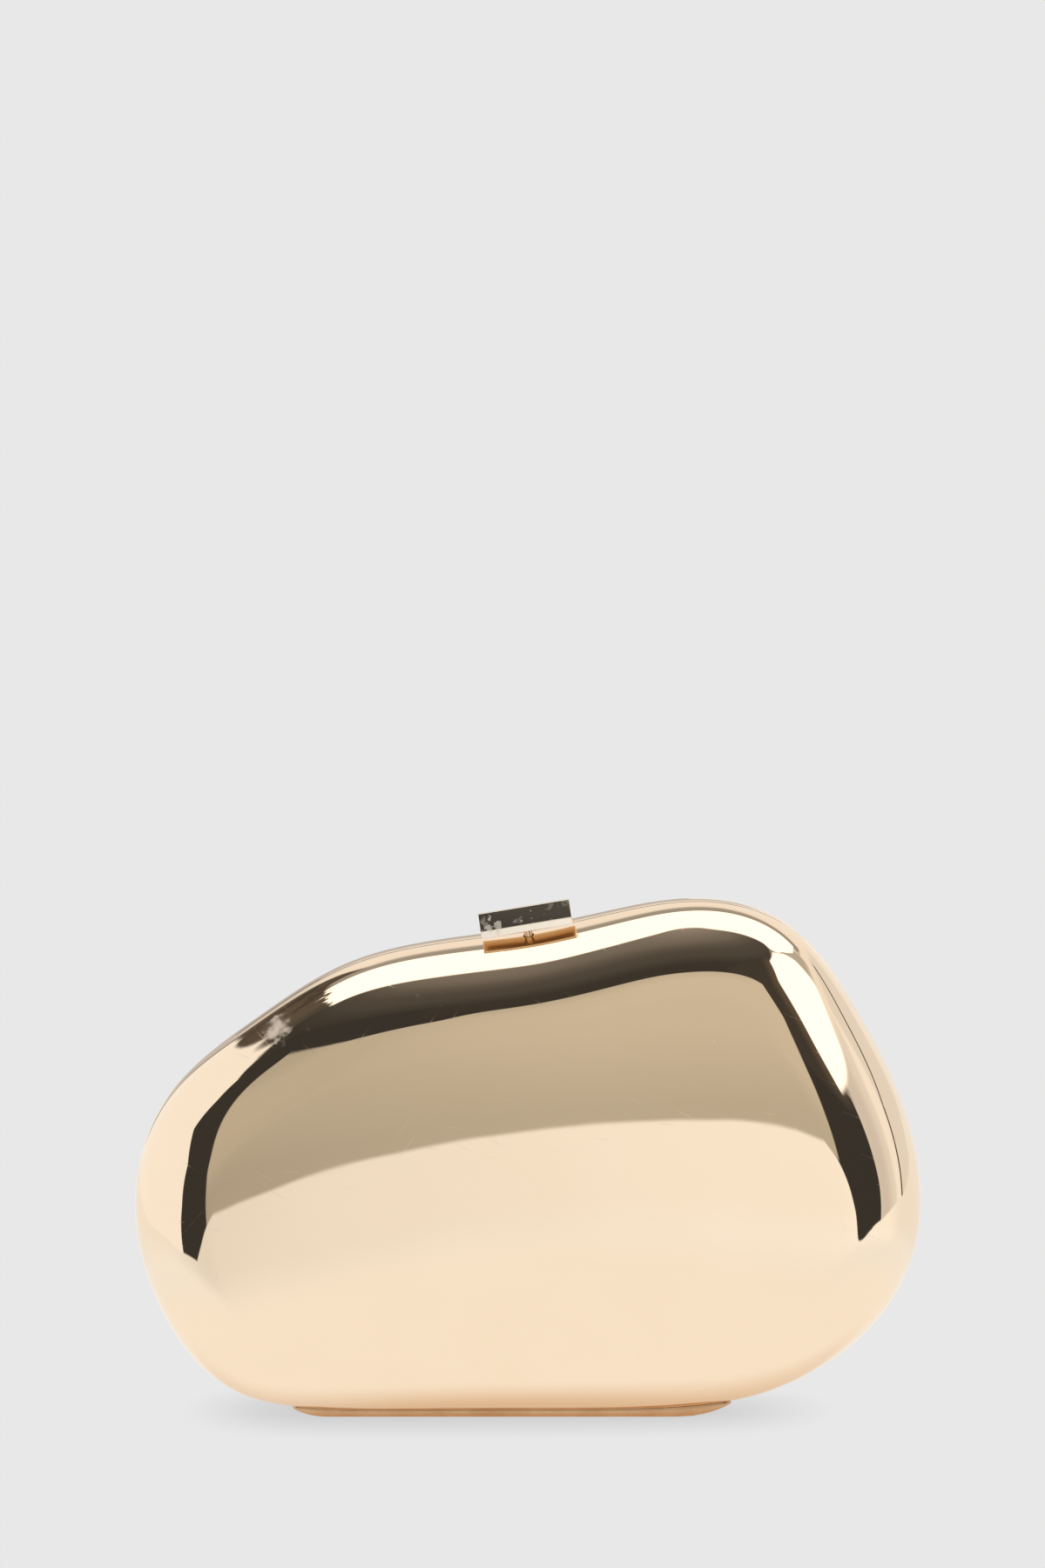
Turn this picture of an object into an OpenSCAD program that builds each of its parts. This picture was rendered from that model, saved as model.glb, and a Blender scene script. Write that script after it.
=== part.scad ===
// Minaudiere: a hard-shell evening clutch of two mirror-polished metal halves.
// The halves meet at a seam in the XZ plane, swing open on a hinge along the bottom
// and are held shut by a push-button clasp on the top rim.
// X runs along the clutch, Y from front (minus) to back, Z up from the table.

/* [Shell] */
// Length of the clutch
shell_w = 200; // [180:1:220]
// Height of the shells at the seam, without the foot rails
shell_h = 134; // [122:1:146]
// Depth of one half from the seam to its fullest point
half_depth = 26; // [24:0.5:30]
// Thickness of the shell metal
wall = 0.9; // [0.7:0.1:1.2]
// Width of the rounded rim, measured inward from the outline
rim_w = 20; // [18:0.5:22]
// Gap between the two shells at the seam
seam_gap = 0.3; // [0.2:0.05:0.4]
// Radius of the face along X
face_rx = 700; // [600:10:900]
// Radius of the face along Z
face_rz = 260; // [240:10:360]
// Height of the ridge line above the shell's bottom, where it is highest
ridge_z = 70; // [66:1:74]
// Place along X where the ridge line is highest
ridge_x = 38; // [30:1:46]
// Radius that the ridge line bends down with
ridge_r = 303; // [280:1:400]

/* [Frames] */
// Depth of the stiffening frame inside each shell
frame_d = 5.2; // [5:0.1:6]
// Distance of the frame's inner face from the outline
frame_in = 2.9; // [2.7:0.1:3.2]
// Gap between the shell's inside and the frame
frame_fit = 0.3; // [0.2:0.05:0.4]
// Thickness of the locating collar
collar_t = 0.6; // [0.5:0.05:0.7]
// Length of collar that reaches across the seam
collar_proud = 1.2; // [0.8:0.1:1.5]
// Gap between the collar and the frames
collar_fit = 0.25; // [0.2:0.05:0.3]
// Height above the shell's bottom where the collar begins
collar_low = 21; // [20:1:30]

/* [Lining] */
// Thickness of the padded lining
lining_t = 1.2; // [1:0.1:1.5]
// Gap between the lining and what it lies against
lining_fit = 0.3; // [0.2:0.05:0.4]

/* [Hinge] */
// Height of the shells above the table, filled by the foot rails
foot_h = 1.3; // [1.2:0.1:1.6]
// Outer radius of the hinge barrel
barrel_r = 1.6; // [1.5:0.05:1.7]
// Radius of the hinge pin
pin_r = 0.8; // [0.7:0.05:0.9]
// Length of the hinge barrel
hinge_len = 98; // [90:1:102]
// Distance of the hinge's middle to the left of the shells' middle
hinge_left = 7; // [6:0.5:8]
// Number of knuckles, odd, the outer ones on the back half
knuckles = 9; // [7:2:11]
// Gap between neighbouring knuckles
knuckle_gap = 0.3; // [0.2:0.05:0.4]
// Outer edge of the foot rails from the seam plane
rail_out = 5.6; // [5.4:0.1:6]
// Run of the foot rails past the left end of the barrel
rail_left = 4; // [2:0.1:5]
// Run of the foot rails past the right end of the barrel
rail_right = 9.7; // [3:0.1:10]
// Length over which each end of a foot rail tapers up and in
rail_end = 8; // [6:0.5:10]
// Rivets in each foot rail
rail_rivets = 4; // [3:1:6]

/* [Clasp] */
// Length of the clasp bar
bar_len = 23.4; // [20:0.2:26]
// Depth of the clasp bar from front to back
bar_d = 6.4; // [6:0.2:7]
// Gap left between the rim and the pressed bar
bar_gap = 1.4; // [0.8:0.1:1.5]
// Height of the upright lip along the bar's lower edge
bar_lip = 1.15; // [0.8:0.05:1.5]
// Height of the sloping faces above the lip
bar_slope_h = 3.85; // [3:0.05:5]
// Width of the flat ridge on top of the bar
bar_ridge = 0.8; // [0.5:0.1:1.5]
// Distance of the clasp stem from the seam plane
stem_y = 3.2; // [3:0.1:3.4]
// Radius of the clasp stem
stem_r = 1.1; // [1:0.05:1.2]
// Radius of the guide pin below the bolt
guide_r = 0.8; // [0.7:0.05:0.9]
// Travel of the push button
press = 1.1; // [1:0.05:1.2]
// Half width of the striker's pair of prongs
prong_half = 4.2; // [4:0.1:4.3]
// Thickness of the prongs
prong_t = 1.7; // [1.6:0.1:1.9]
// Reach of the prongs across the seam
prong_reach = 6.5; // [6.3:0.1:6.7]
// Mean radius of the clasp spring
spring_r = 1.75; // [1.7:0.05:1.9]
// Thickness of the spring wire
wire_d = 0.5; // [0.4:0.05:0.5]
// Length of the clasp spring at rest
spring_len = 3.6; // [3.5:0.1:4.2]
// Curls of the clasp spring
spring_turns = 3; // [2:1:3]

/* [Hidden] */
$fn = 48;

// Overrun of every cut past the face it leaves
over = 0.5;
// Close fit of a part in its hole, per side
fit = 0.05;
// Gap that keeps a part clear of a neighbour it isn't fixed to
clear = 0.3;
// Small seat gap between touching parts
seat = 0.05;
half_seam = seam_gap / 2;

// Bunching of a skin's rings toward the seam, where the rim turns fastest
ring_bunch = 1.2;

// The outline of the shells, as control points of a closed uniform cubic B-spline.
// Shares of the length from the middle, and of the height from the bottom.
outline_share = [
    [0, 0.002], [0.17, 0], [0.31, 0.02], [0.443, 0.144], [0.513, 0.343],
    [0.491, 0.579], [0.42, 0.785], [0.343, 0.968], [0.221, 1.015], [0.106, 0.978],
    [0.004, 0.9395], [-0.115, 0.921], [-0.238, 0.882], [-0.345, 0.765], [-0.464, 0.635],
    [-0.513, 0.428], [-0.48, 0.208], [-0.395, 0.026], [-0.27, 0], [-0.13, 0.002]
];
spans = len(outline_share);
span_steps = 4;
stations = spans * span_steps;
// Spans before the clasp, spans before the bottom run and spans in that run
clasp_after_spans = 10;
bottom_after_spans = 17;
bottom_spans = 5;

// Fullness of the rounded rim, where 2 is an ellipse
rim_power = 2.2;
// Rings of points over the rim of a shell and of a lining, and over its face
shell_rim_steps = 7;
lining_rim_steps = 4;
shell_face_steps = 3;
lining_face_steps = 2;

// Basis of the spline and of its slope at place u of a span
function ease(u) = [
    pow(1 - u, 3) / 6,
    (3 * pow(u, 3) - 6 * u * u + 4) / 6,
    (-3 * pow(u, 3) + 3 * u * u + 3 * u + 1) / 6,
    pow(u, 3) / 6
];
function ease_slope(u) = [
    -pow(1 - u, 2) / 2,
    (3 * u * u - 4 * u) / 2,
    (-3 * u * u + 2 * u + 1) / 2,
    u * u / 2
];
function control(i) = outline_share[(i + spans) % spans];
function blend(w, i) =
    w[0] * control(i - 1) + w[1] * control(i) + w[2] * control(i + 1) + w[3] * control(i + 2);
function span_of(k) = floor(k / span_steps);
function place_of(k) = (k % span_steps) / span_steps;

spline_share = [for (k = [0:stations - 1]) blend(ease(place_of(k)), span_of(k))];
slope_share = [for (k = [0:stations - 1]) blend(ease_slope(place_of(k)), span_of(k))];
low_x_share = min([for (s = spline_share) s.x]);
high_x_share = max([for (s = spline_share) s.x]);
low_z_share = min([for (s = spline_share) s.y]);
high_z_share = max([for (s = spline_share) s.y]);
scale_x = shell_w / (high_x_share - low_x_share);
scale_z = shell_h / (high_z_share - low_z_share);

// Outline points as [x, z], and the unit normals that point inward
outline = [for (s = spline_share)
    [(s.x - (low_x_share + high_x_share) / 2) * scale_x, foot_h + (s.y - low_z_share) * scale_z]];
inward = [for (s = slope_share)
    let (t = [s.x * scale_x, s.y * scale_z]) [-t.y, t.x] / norm(t)];

function inset(k, d) = outline[k] + d * inward[k];

// Depth of the face above the seam plane, a gentle dome whose ridge line bends with the outline
function ridge_line(x) = foot_h + ridge_z - pow(x - ridge_x, 2) / (2 * ridge_r);
function dome(q) = half_depth - pow(q.x, 2) / (2 * face_rx) - pow(q.y - ridge_line(q.x), 2) / (2 * face_rz);

// Rim profile at angle a, 0 at the seam and 90 where the rim runs into the face
function rim_across(a) = 1 - pow(cos(a), 2 / rim_power);
function rim_up(a) = pow(sin(a), 2 / rim_power);
// Distance inward at which a skin that starts at distance d0 is y deep, under a dome of depth top
function across_at(d0, y, top) = (rim_w - d0) * (1 - pow(1 - pow(y / top, rim_power), 1 / rim_power));
function shell_inset(k, y) = wall + across_at(wall, y, dome(inset(k, wall)) - wall);

// One skin of a half: rings from the seam over the rim, then rings that shrink to the middle
middle = [(outline[0].x + outline[clasp_after_spans * span_steps].x) / 2, foot_h + shell_h / 2];
function skin_point(q, sink, drop, up) = [q.x, -(drop + (dome(q) - sink) * up), q.y];
function rim_ring(d0, sink, drop, a) = [for (k = [0:stations - 1])
    skin_point(inset(k, d0 + (rim_w - d0) * rim_across(a)), sink, drop, rim_up(a))];
function face_ring(sink, drop, s) = [for (k = [0:stations - 1])
    skin_point(middle + s * (inset(k, rim_w) - middle), sink, drop, 1)];
function skin(d0, sink, drop, rim_steps, face_steps) = concat(
    [for (j = [0:rim_steps]) each rim_ring(d0, sink, drop, 90 * pow(j / rim_steps, ring_bunch))],
    [for (j = [1:face_steps - 1]) each face_ring(sink, drop, 1 - j / face_steps)],
    [skin_point(middle, sink, drop, 1)]);

// Faces of a skin of the given number of rings, seen from outside or, when flipped, from inside
function turned(f, flip) = flip ? [f[0], f[2], f[1]] : f;
function next(k) = (k + 1) % stations;
function skin_faces(first, rings, flip) = concat(
    [for (j = [0:rings - 2]) for (k = [0:stations - 1]) for (f = [
        [first + j * stations + k, first + (j + 1) * stations + k, first + (j + 1) * stations + next(k)],
        [first + j * stations + k, first + (j + 1) * stations + next(k), first + j * stations + next(k)]])
        turned(f, flip)],
    [for (k = [0:stations - 1]) let (last = first + (rings - 1) * stations)
        turned([last + k, last + stations, last + next(k)], flip)]);
function edge_faces(first, second) = [for (k = [0:stations - 1]) for (f = [
    [first + k, first + next(k), second + next(k)], [first + k, second + next(k), second + k]]) f];

// Closed dish of the front half between an outer and an inner skin
module dish(outer, inner, rings) {
    second = len(outer);
    polyhedron(
        points = concat(outer, inner),
        faces = concat(skin_faces(0, rings, false), skin_faces(second, rings, true), edge_faces(0, second)),
        convexity = 6);
}

// Closed loft through rings of equal count, with fan caps
function loft_sides(n, m) = [for (j = [0:m - 2]) for (k = [0:n - 1]) for (f = [
    [j * n + k, (j + 1) * n + (k + 1) % n, (j + 1) * n + k],
    [j * n + k, j * n + (k + 1) % n, (j + 1) * n + (k + 1) % n]]) f];
function loft_caps(n, m) = concat(
    [for (k = [1:n - 2]) [0, k + 1, k]],
    [for (k = [1:n - 2]) [(m - 1) * n, (m - 1) * n + k, (m - 1) * n + k + 1]]);
module loft(rings) {
    n = len(rings[0]);
    m = len(rings);
    polyhedron(
        points = [for (r = rings) each r],
        faces = concat(loft_sides(n, m), loft_caps(n, m)),
        convexity = 6);
}

module slab(from, to) translate(from) cube(to - from);
module rod(r, z0, z1) translate([0, 0, z0]) cylinder(r = r, h = z1 - z0);
module rod_x(r, x0, x1) translate([x0, 0, 0]) rotate([0, 90, 0]) cylinder(r = r, h = x1 - x0);
module to_back() mirror([0, 1, 0]) children();

// Clasp frame: origin on the rim line, X along the rim, Z out of the rim
clasp_k = clasp_after_spans * span_steps;
clasp_at = outline[clasp_k];
clasp_tilt = atan2(-inward[clasp_k].x, -inward[clasp_k].y);
module at_clasp() translate([clasp_at.x, 0, clasp_at.y]) rotate([0, clasp_tilt, 0]) children();
module at_stem() at_clasp() translate([0, -stem_y, 0]) children();

// Levels of the clasp, measured from the rim line, the bar's up and the others down
bar_lift = press + bar_gap;
pad_t = 0.4;
pad_low = frame_in + pad_t;
pad_top = (shell_inset(clasp_k, frame_d) + frame_fit + frame_in) / 2;
prong_drop = 0.5;
prong_top = pad_low + prong_drop;
prong_low = prong_top + prong_t;
tooth_h = press - fit;
tooth_play = 0.15;
notch_h = tooth_h - tooth_play;
bolt_top = prong_low + clear;
bolt_t = 1.3;
bolt_low = bolt_top + bolt_t;
spring_low = bolt_low + spring_len;
bush_flange = 0.4;
floor_top = spring_low + bush_flange;
floor_t = 0.8;
floor_low = floor_top + floor_t;
guide_run = 1.2;
guide_end = floor_low + guide_run;
clip_t = 0.5;

// Widths of the clasp parts, half across X
clip_w = 0.55;
clip_r = stem_r + clip_w;
clip_play = 0.24;
prong_in = clip_r + clip_play;
prong_play = 0.4;
housing_in = prong_half + prong_play;
housing_t = 0.8;
flange_w = 3.2;
flange_end = housing_in + housing_t + flange_w;
pad_edge = 0.4;
pad_half = flange_end + pad_edge;
bolt_play = 0.2;
bolt_half = housing_in - bolt_play;
ear_w = 2.6;
ear_end = prong_half + ear_w;
back_pad_half = ear_end + pad_edge;
pad_d = frame_d - fit;

// Front to back sizes of the clasp parts
housing_d = 4.2;
bolt_d = 3.8;
tooth_w = 1.4;
notch_w = tooth_w + 2 * clear;
striker_root = 0.5;
nose = 1.1;

// Studs that hold the clasp parts to the frames
stud_r = 0.6;
stud_head_r = 1.1;
stud_head_t = 0.5;
plate_t = 0.8;
stud_skin = 0.15;
stud_top = pad_top - stud_skin;
bush_t = 0.5;
bush_r = guide_r + bush_t;
bush_flange_r = spring_r + wire_d;

// Hinge
barrel_lift = 0.1;
hinge_z = barrel_r + barrel_lift;
hinge_from = -hinge_left - hinge_len / 2;
hinge_to = -hinge_left + hinge_len / 2;
knuckle_pitch = hinge_len / knuckles;
pin_lip = 0.5;
pin_head_r = pin_r + pin_lip;
pin_head_t = 0.5;
notch_r = barrel_r + clear;
notch_end = fit + pin_head_t + clear;
rail_in = notch_r + 2 * fit;
rail_from = hinge_from - rail_left;
rail_len = hinge_len + rail_left + rail_right;
rail_to = rail_from + rail_len;
rail_steps = 26;
rail_end_steps = 4;
// Width left at a rail's tip, and how far the tip's underside stands above the table
rail_tip = 1.6;
rail_rise = 0.8;
plate_top = foot_h - barrel_lift;
rivet_r = 0.7;
rivet_head_r = 1.2;
rivet_head_t = 0.5;
rivet_sink = 0.6;
rivet_y = (rail_in + rail_out) / 2;
rivet_margin = 2;
rivet_edge = rail_end + rivet_margin;

// Height of the outline along its bottom run
bottom_run = [for (k = [0:bottom_spans * span_steps])
    let (q = outline[(bottom_after_spans * span_steps + k) % stations]) [q.x, q.y]];
function bottom_z(x) = lookup(x, bottom_run);
// Height of the shell's underside at x, a distance y out from the seam plane
function belly_z(x, y) = let (z = bottom_z(x), e = (y - half_seam) / dome([x, z]))
    z + rim_w * (1 - pow(1 - pow(e, rim_power), 1 / rim_power));
// Places along a foot rail, closer together in its tapered ends
rail_places = concat(
    [for (j = [0:rail_end_steps]) rail_from + j * rail_end / rail_end_steps],
    [for (j = [1:rail_steps - 1]) rail_from + rail_end + j * (rail_len - 2 * rail_end) / rail_steps],
    [for (j = [rail_end_steps:-1:0]) rail_to - j * rail_end / rail_end_steps]);
// Fullness of a foot rail at x, from 0 at its tips to 1 along its straight run
function rail_full(x) = min(1, (x - rail_from) / rail_end, (rail_to - x) / rail_end);
function rail_section(x) =
    let (
        full = rail_full(x),
        out = rail_in + rail_tip + (rail_out - rail_in - rail_tip) * full,
        mid = (rail_in + out) / 2,
        low = rail_rise * (1 - full))
    [
        [x, -rail_in, low], [x, -out, low],
        [x, -out, belly_z(x, out) - seat],
        [x, -mid, belly_z(x, mid) - seat],
        [x, -rail_in, belly_z(x, rail_in) - seat]
    ];
function rivet_x(j) = rail_from + rivet_edge + j * (rail_len - 2 * rivet_edge) / (rail_rivets - 1);

// Shell of one half, cut away round the hinge barrel and for the rivets
module half_shell() {
    difference() {
        dish(
            skin(0, 0, half_seam, shell_rim_steps, shell_face_steps),
            skin(wall, wall, half_seam, shell_rim_steps, shell_face_steps),
            shell_rim_steps + shell_face_steps);
        hinge_notch();
        rivet_holes(rivet_r + fit);
    }
}

module hinge_notch() translate([0, 0, hinge_z]) rod_x(notch_r, hinge_from - notch_end, hinge_to + notch_end);

module rivet_holes(r) for (j = [0:rail_rivets - 1])
    translate([rivet_x(j), -rivet_y, 0]) rod(r, -over, bottom_z(rivet_x(j)) + frame_in + over);

// Stiffening frame of one half: its outer face follows the shell, its inner face is upright
module half_frame() {
    section = [for (k = [0:stations - 1]) [
        [wall + frame_fit, half_seam], [shell_inset(k, frame_d) + frame_fit, frame_d],
        [frame_in, frame_d], [frame_in, half_seam]]];
    corners = len(section[0]);
    rings = [for (c = [0:corners - 1]) [for (k = [0:stations - 1])
        let (s = section[k][c], q = inset(k, s.x)) [q.x, -s.y, q.y]]];
    difference() {
        polyhedron(
            points = [for (r = rings) each r],
            faces = [for (c = [0:corners - 1]) for (k = [0:stations - 1])
                let (a = c * stations, b = (c + 1) % corners * stations)
                for (f = [[a + k, b + k, b + next(k)], [a + k, b + next(k), a + next(k)]]) f],
            convexity = 6);
        hinge_notch();
        rivet_holes(rivet_r + fit);
        for (j = [0:rail_rivets - 1])
            translate([rivet_x(j), -rivet_y, bottom_z(rivet_x(j)) + frame_in])
                rod(rivet_head_r + fit, -rivet_head_t, over);
    }
}

// Padded lining of one half, from rim distance d0 and begun drop below the seam plane
module half_lining(d0, drop) {
    sink = wall + lining_fit + drop - half_seam;
    dish(
        skin(d0, sink, drop, lining_rim_steps, lining_face_steps),
        skin(d0 + lining_t, sink + lining_t, drop, lining_rim_steps, lining_face_steps),
        lining_rim_steps + lining_face_steps);
}

// Foot rail under one half, seated along the shell's belly, with the fingers of its knuckles
module half_rail(first) {
    difference() {
        union() {
            loft([for (x = rail_places) rail_section(x)]);
            for (n = [first:2:knuckles - 1]) knuckle(n);
        }
        translate([0, 0, hinge_z]) rod_x(pin_r + fit, hinge_from - over, hinge_to + over);
        for (j = [0:rail_rivets - 1]) translate([rivet_x(j), -rivet_y, 0]) {
            rod(rivet_r + fit, -over, foot_h + rail_out);
            rod(rivet_head_r + fit, -over, rivet_sink);
        }
    }
}

module knuckle(n) {
    x0 = hinge_from + n * knuckle_pitch + knuckle_gap / 2;
    x1 = x0 + knuckle_pitch - knuckle_gap;
    translate([0, 0, hinge_z]) rod_x(barrel_r, x0, x1);
    slab([x0, -rail_in - over, hinge_z - barrel_r], [x1, 0, plate_top]);
}

// Flush rivets through rail, shell and frame
module half_rivets() for (j = [0:rail_rivets - 1]) translate([rivet_x(j), -rivet_y, 0]) {
    top = bottom_z(rivet_x(j)) + frame_in;
    rod(rivet_head_r, rivet_sink - rivet_head_t, rivet_sink);
    rod(rivet_r, rivet_sink - rivet_head_t, top - seat);
    rod(rivet_head_r, top - rivet_head_t, top - seat);
}

module back_shell() color("#e3c39a") to_back() half_shell();

module back_frame() color("#c9a36c") {
    difference() {
        union() {
            to_back() half_frame();
            at_clasp() slab([-back_pad_half, half_seam, -pad_low], [back_pad_half, pad_d, -pad_top]);
        }
        at_clasp() for (s = [-1, 1]) translate([s * stud_x_back, stud_y_back, 0])
            rod(stud_r + fit, -pad_low - over, -stud_top + seat);
    }
}

// Thin collar inside the back frame that reaches across the seam and lines the halves up
module back_collar() color("#d9b783") difference() {
    translate([0, frame_d - clear, 0]) rotate([90, 0, 0])
        linear_extrude(height = frame_d - clear + collar_proud) polygon(
            points = concat(
                [for (k = [0:stations - 1]) inset(k, frame_in + collar_fit)],
                [for (k = [0:stations - 1]) inset(k, frame_in + collar_fit + collar_t)]),
            paths = [[for (k = [0:stations - 1]) k], [for (k = [0:stations - 1]) stations + k]]);
    slab([-shell_w / 2, -rail_out, 0], [shell_w / 2, frame_d, foot_h + collar_low]);
    at_clasp() slab([-pad_half - clear, -prong_reach, -floor_low], [pad_half + clear, frame_d, over]);
}

module back_lining() color("#8c8074") difference() {
    to_back() half_lining(frame_in + collar_fit + collar_t + lining_fit, half_seam + clear);
    at_clasp() slab([-ear_end - clear, 0, -prong_low - 2 * clear], [ear_end + clear, frame_d + clear, 0]);
}

module back_hinge_rail() color("#d8a878") to_back() half_rail(0);

module back_rail_rivets() color("#b98a55") to_back() half_rivets();

// Hinge pin with a head at each end
module hinge_pin() color("#b88f5c") translate([0, 0, hinge_z]) {
    rod_x(pin_r, hinge_from - fit, hinge_to + fit);
    rod_x(pin_head_r, hinge_from - fit - pin_head_t, hinge_from - fit);
    rod_x(pin_head_r, hinge_to + fit, hinge_to + fit + pin_head_t);
}

// Forked striker on the back half: two prongs pass the stem, notched below for the bolt's teeth
stud_x_back = prong_half + ear_w / 2;
stud_y_back = frame_d / 2 + clear;
module striker() color("#c7c2b6") at_clasp() difference() {
    union() {
        for (s = [-1, 1]) mirror([(1 - s) / 2, 0, 0])
            translate([prong_in, 0, 0]) rotate([90, 0, 90]) linear_extrude(height = prong_half - prong_in)
                polygon([
                    [striker_root + over, -prong_top], [-prong_reach, -prong_top],
                    [-prong_reach, -prong_low + nose], [-prong_reach + nose, -prong_low],
                    [-stem_y - notch_w / 2, -prong_low], [-stem_y - notch_w / 2, -prong_low + notch_h],
                    [-stem_y + notch_w / 2, -prong_low + notch_h], [-stem_y + notch_w / 2, -prong_low],
                    [striker_root + over, -prong_low]]);
        slab([-prong_half, striker_root, -prong_low], [prong_half, frame_d, -pad_low - seat]);
        slab([-ear_end, striker_root, -pad_low - plate_t], [ear_end, frame_d, -pad_low - seat]);
    }
    for (s = [-1, 1]) translate([s * stud_x_back, stud_y_back, 0])
        rod(stud_r + fit, -pad_low - plate_t - over, -pad_low + over);
}

module stud() {
    rod(stud_head_r, -pad_low - plate_t - stud_head_t, -pad_low - plate_t);
    rod(stud_r, -pad_low - plate_t, -stud_top);
}

module striker_studs() color("#a98a60") at_clasp()
    for (s = [-1, 1]) translate([s * stud_x_back, stud_y_back, 0]) stud();

module front_shell() color("#ecd0a8") difference() {
    half_shell();
    at_stem() rod(stem_r + clear, -frame_in, over);
}

stud_x_front = housing_in + housing_t + flange_w / 2;
module front_frame() color("#c9a36c") difference() {
    union() {
        half_frame();
        at_clasp() slab([-pad_half, -pad_d, -pad_low], [pad_half, -half_seam, -pad_top]);
    }
    at_stem() rod(stem_r + fit, -pad_low - over, over);
    at_stem() for (s = [-1, 1]) translate([s * stud_x_front, 0, 0])
        rod(stud_r + fit, -pad_low - over, -stud_top + seat);
}

module front_lining() color("#8c8074") difference() {
    half_lining(frame_in + lining_fit, collar_proud + clear);
    at_clasp() slab([-pad_half - clear, -prong_reach - 2 * clear, -guide_end], [pad_half + clear, 0, 0]);
}

module front_hinge_rail() color("#d8a878") half_rail(1);

module front_rail_rivets() color("#b98a55") half_rivets();

// Bent strap under the front frame that holds the spring and guides the bolt
module latch_housing() color("#bdb7aa") at_stem() difference() {
    half_d = housing_d / 2;
    union() {
        slab([-housing_in - housing_t, -half_d, -floor_low], [housing_in + housing_t, half_d, -floor_top]);
        for (s = [0, 1]) mirror([s, 0, 0]) {
            slab([housing_in, -half_d, -floor_low], [housing_in + housing_t, half_d, -pad_low - seat]);
            slab([housing_in, -half_d, -pad_low - plate_t], [flange_end, half_d, -pad_low - seat]);
        }
    }
    rod(bush_r + fit, -floor_low - over, -floor_top + over);
    for (s = [-1, 1]) translate([s * stud_x_front, 0, 0])
        rod(stud_r + fit, -pad_low - plate_t - over, -pad_low + over);
}

module housing_studs() color("#a98a60") at_stem()
    for (s = [-1, 1]) translate([s * stud_x_front, 0, 0]) stud();

// Flanged bush in the housing floor, the seat of the spring and the guide of the pin
module guide_bush() color("#b99560") at_stem() difference() {
    union() {
        rod(bush_r, -floor_low, -floor_top);
        rod(bush_flange_r, -floor_top + seat, -spring_low);
        rod(bush_r, -floor_top - seat, -spring_low);
    }
    rod(guide_r + fit, -floor_low - over, -spring_low + over);
}

// Clasp spring, one unbroken tube wound between the bolt and the bush
spring_rings = 8;
wire_sides = 6;
spring_top = -bolt_low - wire_d / 2 - seat;
spring_drop = spring_len - wire_d - 2 * seat;
function spring_ring(j) =
    let (a = 360 * j / spring_rings, drop = spring_drop * j / (spring_turns * spring_rings))
    [for (s = [0:wire_sides - 1]) let (b = 360 * s / wire_sides, r = spring_r + cos(b) * wire_d / 2)
        [r * cos(a), r * sin(a), spring_top - drop + sin(b) * wire_d / 2]];
spring_self_gap = spring_drop / spring_turns - wire_d;
echo(spring_least_gap_to_itself = spring_self_gap);
module latch_spring() color("#9a9a98") at_stem()
    loft([for (j = [0:spring_turns * spring_rings]) spring_ring(j)]);

// Clasp bar: a prism with an upright lip and two mirror faces that lean to a narrow ridge
socket_h = 1.6;
module clasp_bar() color("#6b5d50") at_clasp() difference() {
    translate([-bar_len / 2, 0, 0]) rotate([90, 0, 90]) linear_extrude(height = bar_len) polygon([
        [-stem_y - bar_d / 2, bar_lift], [-stem_y + bar_d / 2, bar_lift],
        [-stem_y + bar_d / 2, bar_lift + bar_lip],
        [-stem_y + bar_ridge / 2, bar_lift + bar_lip + bar_slope_h],
        [-stem_y - bar_ridge / 2, bar_lift + bar_lip + bar_slope_h],
        [-stem_y - bar_d / 2, bar_lift + bar_lip]]);
    translate([0, -stem_y, 0]) rod(stem_r + fit, bar_lift - over, bar_lift + socket_h);
}

// Stem from the bar down to the bolt, with a groove for the clip and a thinner guide below
module clasp_stem() color("#e8cfa4") at_stem() {
    rod(stem_r, -pad_low - seat, bar_lift + socket_h - seat);
    rod(guide_r, -pad_low - seat - clip_t, -pad_low - seat);
    rod(stem_r, -bolt_top + seat, -pad_low - seat - clip_t);
    rod(guide_r, -guide_end, -bolt_top + seat);
}

// Bolt plate on the guide pin, with a tooth for each prong
module latch_bolt() color("#aaa69c") at_stem() difference() {
    union() {
        slab([-bolt_half, -bolt_d / 2, -bolt_low], [bolt_half, bolt_d / 2, -bolt_top]);
        for (s = [0, 1]) mirror([s, 0, 0])
            slab([prong_in + clear / 2, -tooth_w / 2, -bolt_top - over],
                 [prong_half - clear / 2, tooth_w / 2, -bolt_top + tooth_h]);
    }
    rod(guide_r + fit, -bolt_low - over, -bolt_top + tooth_h);
}

// Spring clip in the stem's groove, which stops the button at the top of its travel
module retaining_clip() color("#8f8f8c") at_stem() difference() {
    rod(clip_r, -pad_low - clip_t, -pad_low - 2 * seat);
    rod(guide_r + seat, -pad_low - clip_t - over, -pad_low + over);
    slab([-clip_r - over, -guide_r / 2, -pad_low - clip_t - over], [0, guide_r / 2, -pad_low + over]);
}

back_shell();
back_frame();
back_collar();
back_lining();
back_hinge_rail();
back_rail_rivets();
hinge_pin();
striker();
striker_studs();
front_shell();
front_frame();
front_lining();
front_hinge_rail();
front_rail_rivets();
latch_housing();
housing_studs();
guide_bush();
latch_spring();
clasp_bar();
clasp_stem();
latch_bolt();
retaining_clip();
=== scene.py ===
"""Minaudiere: the looks of a mirror-polished evening clutch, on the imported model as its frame."""
import bpy
import bmesh
import math
import numpy as np
from mathutils import Matrix, Vector, noise as smooth_noise


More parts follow.
